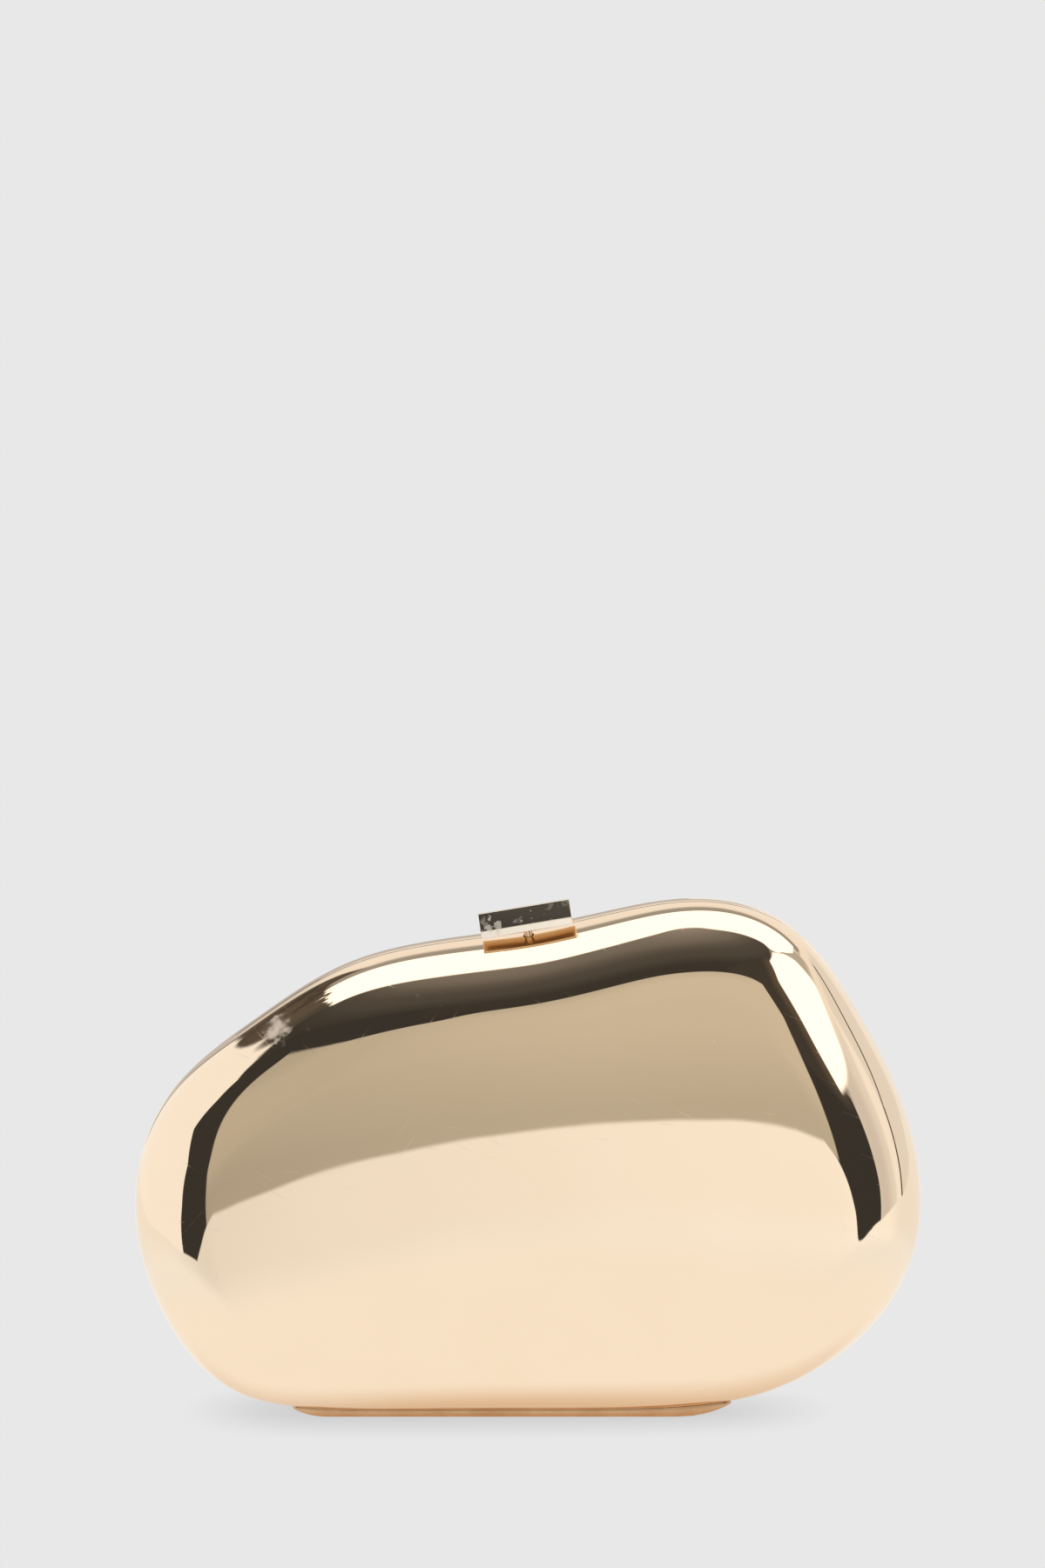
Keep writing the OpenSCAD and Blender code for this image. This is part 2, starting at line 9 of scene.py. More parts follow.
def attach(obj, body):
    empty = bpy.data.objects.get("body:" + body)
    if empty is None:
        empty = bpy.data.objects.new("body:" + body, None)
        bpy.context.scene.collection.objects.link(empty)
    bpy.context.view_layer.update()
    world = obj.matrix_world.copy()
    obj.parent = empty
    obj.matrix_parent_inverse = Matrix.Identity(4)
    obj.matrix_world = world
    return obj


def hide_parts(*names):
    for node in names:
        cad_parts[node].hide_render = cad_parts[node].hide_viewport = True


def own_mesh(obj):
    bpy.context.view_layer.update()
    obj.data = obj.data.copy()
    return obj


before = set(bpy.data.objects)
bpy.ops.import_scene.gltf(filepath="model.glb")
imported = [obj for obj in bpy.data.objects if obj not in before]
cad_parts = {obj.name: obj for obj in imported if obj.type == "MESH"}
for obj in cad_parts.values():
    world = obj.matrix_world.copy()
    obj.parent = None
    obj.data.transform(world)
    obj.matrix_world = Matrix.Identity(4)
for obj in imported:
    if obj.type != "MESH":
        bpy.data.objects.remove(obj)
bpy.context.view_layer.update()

MM = 0.001

# Sizes in millimetres, repeated from the model
SHELL_W, SHELL_H, HALF_DEPTH = 200, 134, 26
WALL, RIM_W, SEAM_GAP = 0.9, 20, 0.3
FACE_RX, FACE_RZ = 700, 260
RIDGE_Z, RIDGE_X, RIDGE_R = 70, 38, 303
RIM_POWER = 2.2
FRAME_D, FRAME_IN, FRAME_FIT = 5.2, 2.9, 0.3
COLLAR_T, COLLAR_PROUD, COLLAR_FIT, COLLAR_LOW = 0.6, 1.2, 0.25, 21
LINING_T, LINING_FIT = 1.2, 0.3
FOOT_H, BARREL_R = 1.3, 1.6
HINGE_LEN, HINGE_LEFT = 98, 7
RAIL_LEFT, RAIL_RIGHT, RAIL_OUT, RAIL_END = 4, 9.7, 5.6, 8
RAIL_RIVETS, RIVET_MARGIN, RIVET_HEAD_R, RIVET_HEAD_T = 4, 2, 1.2, 0.5
PRESS, BAR_GAP = 1.1, 1.4
BAR_LEN, BAR_D = 23.4, 6.4
BAR_LIP, BAR_SLOPE_H, BAR_RIDGE = 1.15, 3.85, 0.8
STEM_Y, STEM_R, GUIDE_R, SOCKET_H = 3.2, 1.1, 0.8, 1.6
PRONG_REACH = 6.5
KNUCKLES, KNUCKLE_GAP, BARREL_LIFT = 9, 0.3, 0.1
PIN_R, PIN_LIP, PIN_HEAD_T = 0.8, 0.5, 0.5
RAIL_TIP, RIVET_R, RIVET_SINK = 1.6, 0.7, 0.6
SPRING_R, WIRE_D, SPRING_LEN, SPRING_TURNS = 1.75, 0.5, 3.6, 3
OVER, FIT, CLEAR, SEAT = 0.5, 0.05, 0.3, 0.05
HALF_SEAM = SEAM_GAP / 2
HINGE_Z = BARREL_R + 0.1
BAR_LIFT = PRESS + BAR_GAP
# Levels of the clasp below the rim line, and half widths of its pads along the rim
PAD_LOW, CLIP_T, PRONG_LOW, BOLT_TOP, BOLT_LOW, FLOOR_LOW, GUIDE_END = 3.3, 0.5, 5.5, 5.8, 7.1, 11.9, 13.1
PAD_HALF, BACK_PAD_HALF, EAR_END, PAD_D = 9, 7.2, 6.8, FRAME_D - FIT
PLATE_T, STUD_R, STUD_HEAD_R, STUD_HEAD_T, STUD_SKIN = 0.8, 0.6, 1.1, 0.5, 0.15
STUD_X_FRONT, STUD_X_BACK, STUD_Y_BACK = 7, 5.5, FRAME_D / 2 + CLEAR

# Control points of the outline, as shares of the length from the middle and of the height
OUTLINE_SHARE = [
    (0, 0.002), (0.17, 0), (0.31, 0.02), (0.443, 0.144), (0.513, 0.343),
    (0.491, 0.579), (0.42, 0.785), (0.343, 0.968), (0.221, 1.015), (0.106, 0.978),
    (0.004, 0.9395), (-0.115, 0.921), (-0.238, 0.882), (-0.345, 0.765), (-0.464, 0.635),
    (-0.513, 0.428), (-0.48, 0.208), (-0.395, 0.026), (-0.27, 0), (-0.13, 0.002),
]
SPANS = len(OUTLINE_SHARE)
CLASP_SPAN = 10

# Fineness of the smooth surfaces
SPAN_STEPS = 16
RIM_STEPS = 36
FACE_STEPS = 14
POLE_SHARES = (0.5, 0.22, 0.08)
EDGE_R = 0.22
EDGE_STEPS = 4
# Lengths over which the foot rails' undersides curl up to their tips, and the height left there
CURL_LEFT, CURL_RIGHT, TIP_HEIGHT = 9, 16, 0.8
# Height that the clasp bar's lip reaches below the model's
BAR_SKIRT = 0.7
# Rounded edges and corners that the model leaves sharp
FRAME_EDGE, COLLAR_EDGE, RAIL_EDGE, KNUCKLE_EDGE = 0.2, 0.12, 0.4, 0.15
HEAD_EDGE, BAR_EDGE, SHEET_EDGE = 0.12, 0.12, 0.12
# Depth of the lining's stitched channel below its hem, and the heights of its fullness
LINING_CHANNEL, LINING_PUFF, LINING_SINK = 2.2, 2.2, 0.35
LINING_STEPS = 30
# Reach of the gathers from the hem, as a share of the rim's rings, and the least share of the fullness
GATHERED, LEAST_PUFF = 1.6, -0.4


# The pebble's surface
def spline_weights(u):
    return np.array([(1 - u) ** 3, 3 * u ** 3 - 6 * u * u + 4, -3 * u ** 3 + 3 * u * u + 3 * u + 1, u ** 3]) / 6


def slope_weights(u):
    return np.array([-(1 - u) ** 2, 3 * u * u - 4 * u, -3 * u * u + 2 * u + 1, u * u]) / 2


def outline():
    """Points of the outline as (x, z) in mm, and the unit normals that point inward."""
    control = np.array(OUTLINE_SHARE, float)
    points, slopes = [], []
    for k in range(SPANS * SPAN_STEPS):
        i, u = k // SPAN_STEPS, (k % SPAN_STEPS) / SPAN_STEPS
        near = control[[(i - 1) % SPANS, i, (i + 1) % SPANS, (i + 2) % SPANS]]
        points.append(spline_weights(u) @ near)
        slopes.append(slope_weights(u) @ near)
    points, slopes = np.array(points), np.array(slopes)
    coarse = points[::SPAN_STEPS // 4]
    low, high = coarse.min(0), coarse.max(0)
    scale = np.array([SHELL_W, SHELL_H]) / (high - low)
    places = (points - [(low[0] + high[0]) / 2, low[1]]) * scale + [0, FOOT_H]
    normals = (slopes * scale)[:, ::-1] * [-1, 1]
    return places, normals / np.linalg.norm(normals, axis=1)[:, None]


RIM, INWARD = outline()
MIDDLE = np.array([(RIM[0, 0] + RIM[CLASP_SPAN * SPAN_STEPS, 0]) / 2, FOOT_H + SHELL_H / 2])


def inset(distance):
    """The outline moved inward by one distance, or by one for each of its points."""
    return RIM + INWARD * np.reshape(distance, (-1, 1))


def dome(places):
    """Depth of the face above the seam plane at (x, z) places."""
    x, z = places[:, 0], places[:, 1]
    ridge = FOOT_H + RIDGE_Z - (x - RIDGE_X) ** 2 / (2 * RIDGE_R)
    return HALF_DEPTH - x ** 2 / (2 * FACE_RX) - (z - ridge) ** 2 / (2 * FACE_RZ)


def at_depth(places, depth):
    """Points of the front half, which lies towards -Y."""
    depth = np.broadcast_to(depth, len(places))
    return np.column_stack([places[:, 0], -depth, places[:, 1]])


def skin(d0, sink, drop, face_steps=FACE_STEPS, least_deep=0.0):
    """Rings of one skin from the seam over the rim to the middle of the face, as in the model."""
    rings = []
    for j in range(RIM_STEPS + 1):
        a = math.radians(90 * (j / RIM_STEPS) ** 1.2)
        across, up = 1 - math.cos(a) ** (2 / RIM_POWER), math.sin(a) ** (2 / RIM_POWER)
        if HALF_DEPTH * up < least_deep:
            continue
        places = inset(d0 + (RIM_W - d0) * across)
        rings.append(at_depth(places, drop + (dome(places) - sink) * up))
    edge = inset(RIM_W)
    for share in [1 - j / face_steps for j in range(1, face_steps)] + [s / face_steps for s in POLE_SHARES]:
        places = MIDDLE + share * (edge - MIDDLE)
        rings.append(at_depth(places, drop + dome(places) - sink))
    return rings


def middle_point(sink, drop):
    return at_depth(MIDDLE[None, :], drop + dome(MIDDLE[None, :]) - sink)


def edge_arc(d0, radius, drop):
    """Rings that round a skin's edge at the seam, from the flat of the edge to the rim."""
    turn = np.radians(np.linspace(0, 90, EDGE_STEPS + 1))
    return [at_depth(inset(d0 + radius * (1 - math.sin(a))), drop + radius * (1 - math.cos(a))) for a in turn]


# Mesh helpers
def ring_faces(starts, count):
    """Faces between rings of count points each, one after the other, from the indices at which they start."""
    return [(a + k, a + (k + 1) % count, b + (k + 1) % count, b + k)
            for a, b in zip(starts, starts[1:]) for k in range(count)]


def linked(name, data):
    obj = bpy.data.objects.new(name, data)
    bpy.context.scene.collection.objects.link(obj)
    return obj


def solid_object(name, points, faces):
    """An object in metres from a closed solid's points in millimetres and its faces."""
    mesh = bpy.data.meshes.new(name)
    mesh.from_pydata([tuple(p) for p in np.asarray(points, float) * MM], [], faces)
    obj = linked(name, mesh)
    bm = bmesh.new()
    bm.from_mesh(mesh)
    bmesh.ops.recalc_face_normals(bm, faces=bm.faces)
    bm.to_mesh(mesh)
    bm.free()
    return obj


def smooth(mesh, sharp=35):
    """Smooth shading, apart from edges that turn by more than sharp degrees."""
    mesh.polygons.foreach_set("use_smooth", [True] * len(mesh.polygons))
    mesh.set_sharp_from_angle(angle=math.radians(sharp))


def entered(piece, name, body):
    """Attaches a piece to its body and hides the model's solid that it stands for."""
    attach(piece, body)
    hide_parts(name)
    return piece


def mesh_piece(name, kind, solid, body):
    """A piece from a closed solid as (points, faces), in place of the model's solid of that name."""
    piece = solid_object(name + "_" + kind, *solid)
    smooth(piece.data)
    return entered(piece, name, body)


def closed_rings(first, rings, last):
    """Points and faces of a closed solid through rings, from one middle point to another."""
    count = len(rings[0])
    end = 1 + count * len(rings)
    faces = [(0, 1 + (k + 1) % count, 1 + k) for k in range(count)] + ring_faces(range(1, end, count), count)
    faces += [(end - count + k, end - count + (k + 1) % count, end) for k in range(count)]
    return np.vstack([first, *rings, last]), faces


def cut(obj, solids, operation="DIFFERENCE"):
    """Takes closed solids, as (points, faces), out of a piece, or joins them to it."""
    for solid in solids:
        tool = solid_object("cutter", *solid)
        modifier = obj.modifiers.new("cut", "BOOLEAN")
        modifier.operation = operation
        modifier.solver = "EXACT"
        modifier.object = tool
        evaluated = obj.evaluated_get(bpy.context.evaluated_depsgraph_get())
        result = bpy.data.meshes.new_from_object(evaluated)
        obj.modifiers.clear()
        obj.data = result
        bpy.data.objects.remove(tool)
    smooth(obj.data)


def in_half(piece, body):
    """A piece made for the front half, mirrored across the seam plane if it belongs to the back one."""
    if body == "back":
        piece.data.transform(Matrix.Scale(-1, 4, (0, 1, 0)))
        piece.data.flip_normals()
    return piece


# The clasp's own frame
clasp_k = CLASP_SPAN * SPAN_STEPS
CLASP_AT = np.array([RIM[clasp_k, 0], 0, RIM[clasp_k, 1]])
CLASP_TILT = math.atan2(-INWARD[clasp_k, 0], -INWARD[clasp_k, 1])


def at_clasp(points):
    """Points given along the rim, across it and out of it, as points of the part."""
    c, s = math.cos(CLASP_TILT), math.sin(CLASP_TILT)
    p = np.asarray(points, float)
    return np.column_stack([p[:, 0] * c + p[:, 2] * s, p[:, 1], -p[:, 0] * s + p[:, 2] * c]) + CLASP_AT


def along_x(points):
    return np.asarray(points, float)[:, [2, 0, 1]]


# Solids as (points, faces), in millimetres
def lathe(profile, sides=64):
    """A closed solid turned about Z, from (radius, height) points that start and end on the axis."""
    turn = 2 * math.pi * np.arange(sides) / sides
    rings = [np.column_stack([r * np.cos(turn), r * np.sin(turn), np.full(sides, z)]) for r, z in profile[1:-1]]
    return closed_rings([[0, 0, profile[0][1]]], rings, [[0, 0, profile[-1][1]]])


def rod(radius, low, high, chamfer=0.0):
    profile = [(radius, low), (radius, high)]
    if chamfer:
        inner = radius - chamfer
        profile = [(inner, low), (radius, low + chamfer), (radius, high - chamfer), (inner, high)]
    return lathe([(0, low)] + profile + [(0, high)])


def slab(low, high):
    points = [(x, y, z) for z in (low[2], high[2]) for y in (low[1], high[1]) for x in (low[0], high[0])]
    faces = [(0, 2, 3, 1), (4, 5, 7, 6), (0, 1, 5, 4), (2, 6, 7, 3), (0, 4, 6, 2), (1, 3, 7, 5)]
    return np.array(points, float), faces


def placed(solid, place):
    return place(solid[0]), solid[1]


def moved(solid, x=0.0, y=0.0, z=0.0):
    return np.asarray(solid[0], float) + np.array([x, y, z]), solid[1]


def joined(solids):
    points, faces, count = [], [], 0
    for some, of_these in solids:
        points.append(np.asarray(some, float))
        faces += [tuple(i + count for i in face) for face in of_these]
        count += len(some)
    return np.vstack(points), faces


def band(section):
    """A closed band round the outline over a section of (distance in from the rim, depth) points."""
    rings = [at_depth(inset(distance), depth) for distance, depth in section]
    count = len(rings[0])
    return np.vstack(rings), ring_faces([*range(0, count * len(rings), count), 0], count)


def lofted(sections):
    """A closed solid over sections with the same number of points each."""
    count = len(sections[0])
    starts = range(0, count * len(sections), count)
    ends = [tuple(range(start, start + count)) for start in (0, starts[-1])]
    return np.vstack(sections), ends + ring_faces(starts, count)


def bevelled(obj, width, segments=2, sharp=30):
    """Rounds the sharp edges of a piece by width in millimetres."""
    bm = bmesh.new()
    bm.from_mesh(obj.data)
    bmesh.ops.remove_doubles(bm, verts=bm.verts, dist=1e-6)
    bmesh.ops.dissolve_limit(bm, angle_limit=math.radians(1), verts=bm.verts, edges=bm.edges)
    edges = [e for e in bm.edges if len(e.link_faces) == 2 and e.calc_face_angle() > math.radians(sharp)]
    bmesh.ops.bevel(bm, geom=edges, offset=width * MM, segments=segments, profile=0.6, affect="EDGES",
                    clamp_overlap=True)
    bm.to_mesh(obj.data)
    bm.free()
    smooth(obj.data, 50)


# The hinge's sizes along X and across
HINGE_FROM = -HINGE_LEFT - HINGE_LEN / 2
HINGE_TO = HINGE_FROM + HINGE_LEN
RAIL_FROM = HINGE_FROM - RAIL_LEFT
RAIL_TO = HINGE_TO + RAIL_RIGHT
RAIL_IN = BARREL_R + CLEAR + 2 * FIT
RIVET_Y = (RAIL_IN + RAIL_OUT) / 2
RIVETS_X = np.linspace(RAIL_FROM + RAIL_END + RIVET_MARGIN, RAIL_TO - RAIL_END - RIVET_MARGIN, RAIL_RIVETS)
LOWER = RIM[(RIM[:, 1] < FOOT_H + 0.2 * SHELL_H) & (abs(RIM[:, 0]) < 0.42 * SHELL_W)]
LOWER = LOWER[np.argsort(LOWER[:, 0])]


def bottom_z(x):
    """Height of the outline along its bottom run."""
    return float(np.interp(x, LOWER[:, 0], LOWER[:, 1]))


def belly_z(x, y):
    """Height of the shell's underside at x, a distance y out from the seam plane."""
    z = bottom_z(x)
    share = (y - HALF_SEAM) / dome(np.array([[x, z]]))[0]
    return z + RIM_W * (1 - (1 - share ** RIM_POWER) ** (1 / RIM_POWER))


def shell_inset(depth):
    """Distance in from the rim at which the shell's inner skin lies at a depth, at each station."""
    turn = [math.radians(90 * j / 200) for j in range(201)]
    distances = [WALL + (RIM_W - WALL) * (1 - math.cos(a) ** (2 / RIM_POWER)) for a in turn]
    depths = np.array([HALF_SEAM + (dome(inset(d)) - WALL) * math.sin(a) ** (2 / RIM_POWER)
                       for a, d in zip(turn, distances)])
    return np.array([np.interp(depth, depths[:, k], distances) for k in range(len(RIM))])


STUD_TOP = (shell_inset(FRAME_D)[clasp_k] + FRAME_FIT + FRAME_IN) / 2 - STUD_SKIN
PAD_TOP = STUD_TOP + STUD_SKIN


def at_stem(points):
    return at_clasp(np.asarray(points, float) + np.array([0, -STEM_Y, 0]))


def on_hinge(solid, x=0.0):
    """A solid turned about Z, laid along the hinge's axis."""
    return moved(placed(solid, along_x), x, 0, HINGE_Z)


# Cutters and other solids that several pieces share
def hinge_notch():
    reach = HINGE_LEN / 2 + FIT + PIN_HEAD_T + CLEAR
    return on_hinge(rod(BARREL_R + CLEAR, -reach, reach), -HINGE_LEFT)


def at_rivets(make):
    """The solid that make gives for the height of the frame's inner edge, at each rivet."""
    return joined([moved(make(bottom_z(x) + FRAME_IN), x, -RIVET_Y) for x in RIVETS_X])


def rivet_holes():
    return at_rivets(lambda top: rod(RIVET_R + FIT, -OVER, top + OVER))


# Pieces of both halves and of the button, made for the front half
def shell(body, cutters):
    """Polished shell of one half, with a rounded edge at the seam."""
    outer = edge_arc(0, EDGE_R, HALF_SEAM) + skin(0, 0, HALF_SEAM, least_deep=2 * EDGE_R)
    inner = skin(WALL, WALL, HALF_SEAM)
    dish = closed_rings(middle_point(0, HALF_SEAM), outer[::-1] + inner, middle_point(WALL, HALF_SEAM))
    piece = mesh_piece(body + "_shell", "polished", dish, body)
    cut(piece, [joined([hinge_notch(), rivet_holes()] + cutters)])
    return in_half(piece, body)


def stiffening_frame(body, pad, holes):
    """Flat ring that follows the shell inside the seam, with a pad for the clasp's studs."""
    root = shell_inset(FRAME_D) + FRAME_FIT
    c = FRAME_EDGE
    piece = mesh_piece(body + "_frame", "ring", band([
        (WALL + FRAME_FIT, HALF_SEAM), (root, FRAME_D), (FRAME_IN - c, FRAME_D), (FRAME_IN, FRAME_D - c),
        (FRAME_IN, HALF_SEAM + c), (FRAME_IN - c, HALF_SEAM)]), body)
    cut(piece, [pad], "UNION")
    recesses = at_rivets(lambda top: rod(RIVET_HEAD_R + FIT, top - RIVET_HEAD_T, top + OVER))
    cut(piece, [joined([hinge_notch(), rivet_holes()] + holes), recesses])
    return in_half(piece, body)


def collar():
    """Thin locating band of the back half, open along the hinge and at the clasp."""
    d0, d1, deep, c = FRAME_IN + COLLAR_FIT, FRAME_IN + COLLAR_FIT + COLLAR_T, FRAME_D - CLEAR, COLLAR_EDGE
    piece = mesh_piece("back_collar", "band", band([
        (d0, COLLAR_PROUD - c), (d0 + c, COLLAR_PROUD), (d1 - c, COLLAR_PROUD), (d1, COLLAR_PROUD - c),
        (d1, -deep + c), (d1 - c, -deep), (d0 + c, -deep), (d0, -deep + c)]), "back")
    half = PAD_HALF + CLEAR
    cut(piece, [slab([-SHELL_W / 2, -RAIL_OUT, 0], [SHELL_W / 2, FRAME_D, FOOT_H + COLLAR_LOW]),
                placed(slab([-half, -PRONG_REACH, -FLOOR_LOW], [half, FRAME_D, OVER]), at_clasp)])
    return piece


def foot_rail(body, first):
    """Foot rail under one half with rounded, upturned ends, and the fingers of its knuckles."""
    turns = RAIL_END * (1 - np.cos(np.radians(np.linspace(0, 90, 13))))
    places = np.concatenate([RAIL_FROM + turns, np.linspace(RAIL_FROM + RAIL_END, RAIL_TO - RAIL_END, 80)[1:-1],
                             (RAIL_TO - turns)[::-1]])
    sections = []
    for x in places:
        near = min(1, (x - RAIL_FROM) / RAIL_END, (RAIL_TO - x) / RAIL_END)
        full = math.sqrt(max(0, 1 - (1 - near) ** 2))
        out = RAIL_IN + RAIL_TIP + (RAIL_OUT - RAIL_IN - RAIL_TIP) * full
        above = belly_z(x, out)
        curl = max(0, 1 - (x - RAIL_FROM) / CURL_LEFT, 1 - (RAIL_TO - x) / CURL_RIGHT) ** 2
        low = curl * (above - TIP_HEIGHT)
        r = min(RAIL_EDGE, (above - low) / 2.4)
        ring = [(x, -RAIL_IN, low)]
        ring += [(x, -out + r - r * math.sin(a), low + r - r * math.cos(a))
                 for a in np.radians([0, 22, 45, 68, 90])]
        ring += [(x, -out, above - r), (x, -out + 0.3 * r, above - 0.35 * r)]
        ring += [(x, -y, belly_z(x, y) - SEAT) for y in np.linspace(out - r, RAIL_IN, 4)]
        sections.append(np.array(ring))
    piece = mesh_piece(body + "_hinge_rail", "strip", lofted(sections), body)
    plates, barrels = [], []
    for n in range(first, KNUCKLES, 2):
        x0 = HINGE_FROM + n * HINGE_LEN / KNUCKLES + KNUCKLE_GAP / 2
        x1 = x0 + HINGE_LEN / KNUCKLES - KNUCKLE_GAP
        plates.append(slab([x0, -RAIL_IN - OVER, HINGE_Z - BARREL_R], [x1, 0, FOOT_H - BARREL_LIFT]))
        barrels.append(on_hinge(rod(BARREL_R, x0, x1, KNUCKLE_EDGE)))
    cut(piece, [joined(plates), joined(barrels)], "UNION")
    wide, thin, over = RIVET_HEAD_R + FIT, RIVET_R + FIT, FOOT_H + RAIL_OUT
    recess = [(0, -OVER), (wide, -OVER), (wide, RIVET_SINK), (thin, RIVET_SINK), (thin, over), (0, over)]
    bore = on_hinge(rod(PIN_R + FIT, HINGE_FROM - OVER, HINGE_TO + OVER))
    cut(piece, [bore, at_rivets(lambda top: lathe(recess))])
    return in_half(piece, body)


def rivets(body):
    low, c, r = RIVET_SINK - RIVET_HEAD_T, HEAD_EDGE, RIVET_HEAD_R
    solids = at_rivets(lambda top: lathe([
        (0, low), (r - c, low), (r, low + c), (r, RIVET_SINK), (RIVET_R, RIVET_SINK),
        (RIVET_R, top - RIVET_HEAD_T), (r, top - RIVET_HEAD_T), (r, top - SEAT - c), (r - c, top - SEAT),
        (0, top - SEAT)], 40))
    return in_half(mesh_piece(body + "_rail_rivets", "set", solids, body), body)


def hinge_pin():
    """Pin along the bottom with a rounded head at each end."""
    head, c, t = PIN_R + PIN_LIP, HEAD_EDGE, PIN_HEAD_T
    start, end = HINGE_FROM - FIT - t, HINGE_TO + FIT + t
    profile = [(0, start), (head - c, start), (head, start + c), (head, start + t), (PIN_R, start + t),
               (PIN_R, end - t), (head, end - t), (head, end - c), (head - c, end), (0, end)]
    return mesh_piece("hinge_pin", "turned", on_hinge(lathe(profile, 40)), "back")


def studs(name, body, places):
    """Headed studs that hold the clasp's sheet-metal parts to the frames."""
    low, c = -PAD_LOW - PLATE_T - STUD_HEAD_T, HEAD_EDGE
    profile = [(0, low), (STUD_HEAD_R - c, low), (STUD_HEAD_R, low + c), (STUD_HEAD_R, low + STUD_HEAD_T),
               (STUD_R, low + STUD_HEAD_T), (STUD_R, -STUD_TOP), (0, -STUD_TOP)]
    pair = placed(joined([moved(lathe(profile, 40), x, y) for x, y in places]), at_clasp)
    return mesh_piece(name, "pair", pair, body)


def clasp_bar():
    """Mirrored prism with an upright lip, two leaning faces, a narrow ridge and fine rounded edges."""
    lip, low = BAR_LIFT + BAR_LIP, BAR_LIFT - BAR_SKIRT
    top = lip + BAR_SLOPE_H
    half, ridge = BAR_D / 2, BAR_RIDGE / 2
    section = [(-STEM_Y - half, low), (-STEM_Y + half, low), (-STEM_Y + half, lip),
               (-STEM_Y + ridge, top), (-STEM_Y - ridge, top), (-STEM_Y - half, lip)]
    bar = placed(lofted([[(x, y, z) for y, z in section] for x in (-BAR_LEN / 2, BAR_LEN / 2)]), at_clasp)
    piece = mesh_piece("clasp_bar", "mirror", bar, "button")
    bevelled(piece, BAR_EDGE, 3, 20)
    cut(piece, [placed(rod(STEM_R + FIT, low - OVER, BAR_LIFT + SOCKET_H), at_stem)])
    return piece


def clasp_stem():
    """Turned stem with a groove for the clip and a thinner guide below."""
    high = -PAD_LOW - SEAT
    low, top, c = high - CLIP_T, BAR_LIFT + SOCKET_H - SEAT, HEAD_EDGE
    profile = [(0, -GUIDE_END), (GUIDE_R - c, -GUIDE_END), (GUIDE_R, -GUIDE_END + c), (GUIDE_R, -BOLT_TOP + SEAT),
               (STEM_R, -BOLT_TOP + SEAT), (STEM_R, low), (GUIDE_R, low), (GUIDE_R, high), (STEM_R, high),
               (STEM_R, top), (0, top)]
    return mesh_piece("clasp_stem", "turned", placed(lathe(profile), at_stem), "button")


def latch_spring():
    """Round wire wound between the bolt and the bush."""
    steps, sides, drop = 48 * SPRING_TURNS, 20, SPRING_LEN - WIRE_D - 2 * SEAT
    sections = []
    for j in range(steps + 1):
        a = 2 * math.pi * SPRING_TURNS * j / steps
        b = 2 * math.pi * np.arange(sides) / sides
        r = SPRING_R + np.cos(b) * WIRE_D / 2
        z = -BOLT_LOW - WIRE_D / 2 - SEAT - drop * j / steps + np.sin(b) * WIRE_D / 2
        sections.append(np.column_stack([r * math.cos(a), r * math.sin(a), z]))
    piece = mesh_piece("latch_spring", "coil", placed(lofted(sections), at_stem), "front")
    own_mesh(piece)
    return piece


def sheet_metal(name, body, edge):
    """A model solid again, with its sharp edges rounded as deburred sheet metal."""
    piece = linked(name + "_rounded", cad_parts[name].data.copy())
    bevelled(piece, edge)
    return entered(piece, name, body)


def lining(body, d0, drop, opening):
    """Padded satin lining with a rolled hem, a stitched channel under it and soft, uneven fullness."""
    sink = WALL + LINING_FIT + drop - HALF_SEAM
    outer = skin(d0, sink, drop, face_steps=LINING_STEPS)
    inner = skin(d0 + LINING_T, sink + LINING_T, drop, face_steps=LINING_STEPS)
    r = LINING_T / 2
    hem = [at_depth(inset(d0 + r - r * math.cos(a)), drop + r - r * math.sin(a))
           for a in np.radians(np.linspace(0, 180, 9))]
    deep, inner = [[ring for ring in rings if -ring[:, 1].max() > drop + r + 0.3] for rings in (outer, inner)]
    count = len(RIM)
    pad = closed_rings(middle_point(sink, drop), deep[::-1] + hem + inner, middle_point(sink + LINING_T, drop))
    piece = mesh_piece(body + "_lining", "satin", pad, body)
    first_soft = 1 + (len(deep) + len(hem)) * count
    mesh = piece.data
    normals = [v.normal.copy() for v in mesh.vertices]
    for i in range(first_soft, len(mesh.vertices)):
        v = mesh.vertices[i]
        ring = min((i - first_soft) / count, len(inner))
        below = (-v.co.y / MM - drop) / LINING_CHANNEL
        channel = math.exp(-((below - 1) / 0.28) ** 2)
        x, z = v.co.x / MM, v.co.z / MM
        wide = smooth_noise.noise(Vector((x / 34, z / 30, 3.1)))
        fold = 1 - 2 * abs(smooth_noise.noise(Vector((x / 26 + z / 40, z / 60 - x / 90, 7.7)) * 1.5))
        pull = smooth_noise.noise(Vector((ring * 0.03, (i % count) / 3.6, 1.3)))
        pull *= max(0, 1 - ring / (GATHERED * RIM_STEPS))
        puff = max(LEAST_PUFF, 0.3 + 0.3 * wide + 0.3 * fold + 1.1 * pull)
        rise = min(1, max(0, below - 0.4) / 2.5)
        v.co += normals[i] * MM * (LINING_PUFF * puff * rise - LINING_SINK * channel)
    mesh.update()
    cut(piece, [placed(opening, at_clasp)])
    in_half(piece, body)
    return piece


def clasp_pad(half):
    return placed(slab([-half, -PAD_D, -PAD_LOW], [half, -HALF_SEAM, -PAD_TOP]), at_clasp)


def lining_opening(half, deep, low):
    return slab([-half - CLEAR, -deep, -low], [half + CLEAR, 0, 0])


def stem_hole(fit, low):
    return placed(rod(STEM_R + fit, low, OVER), at_stem)


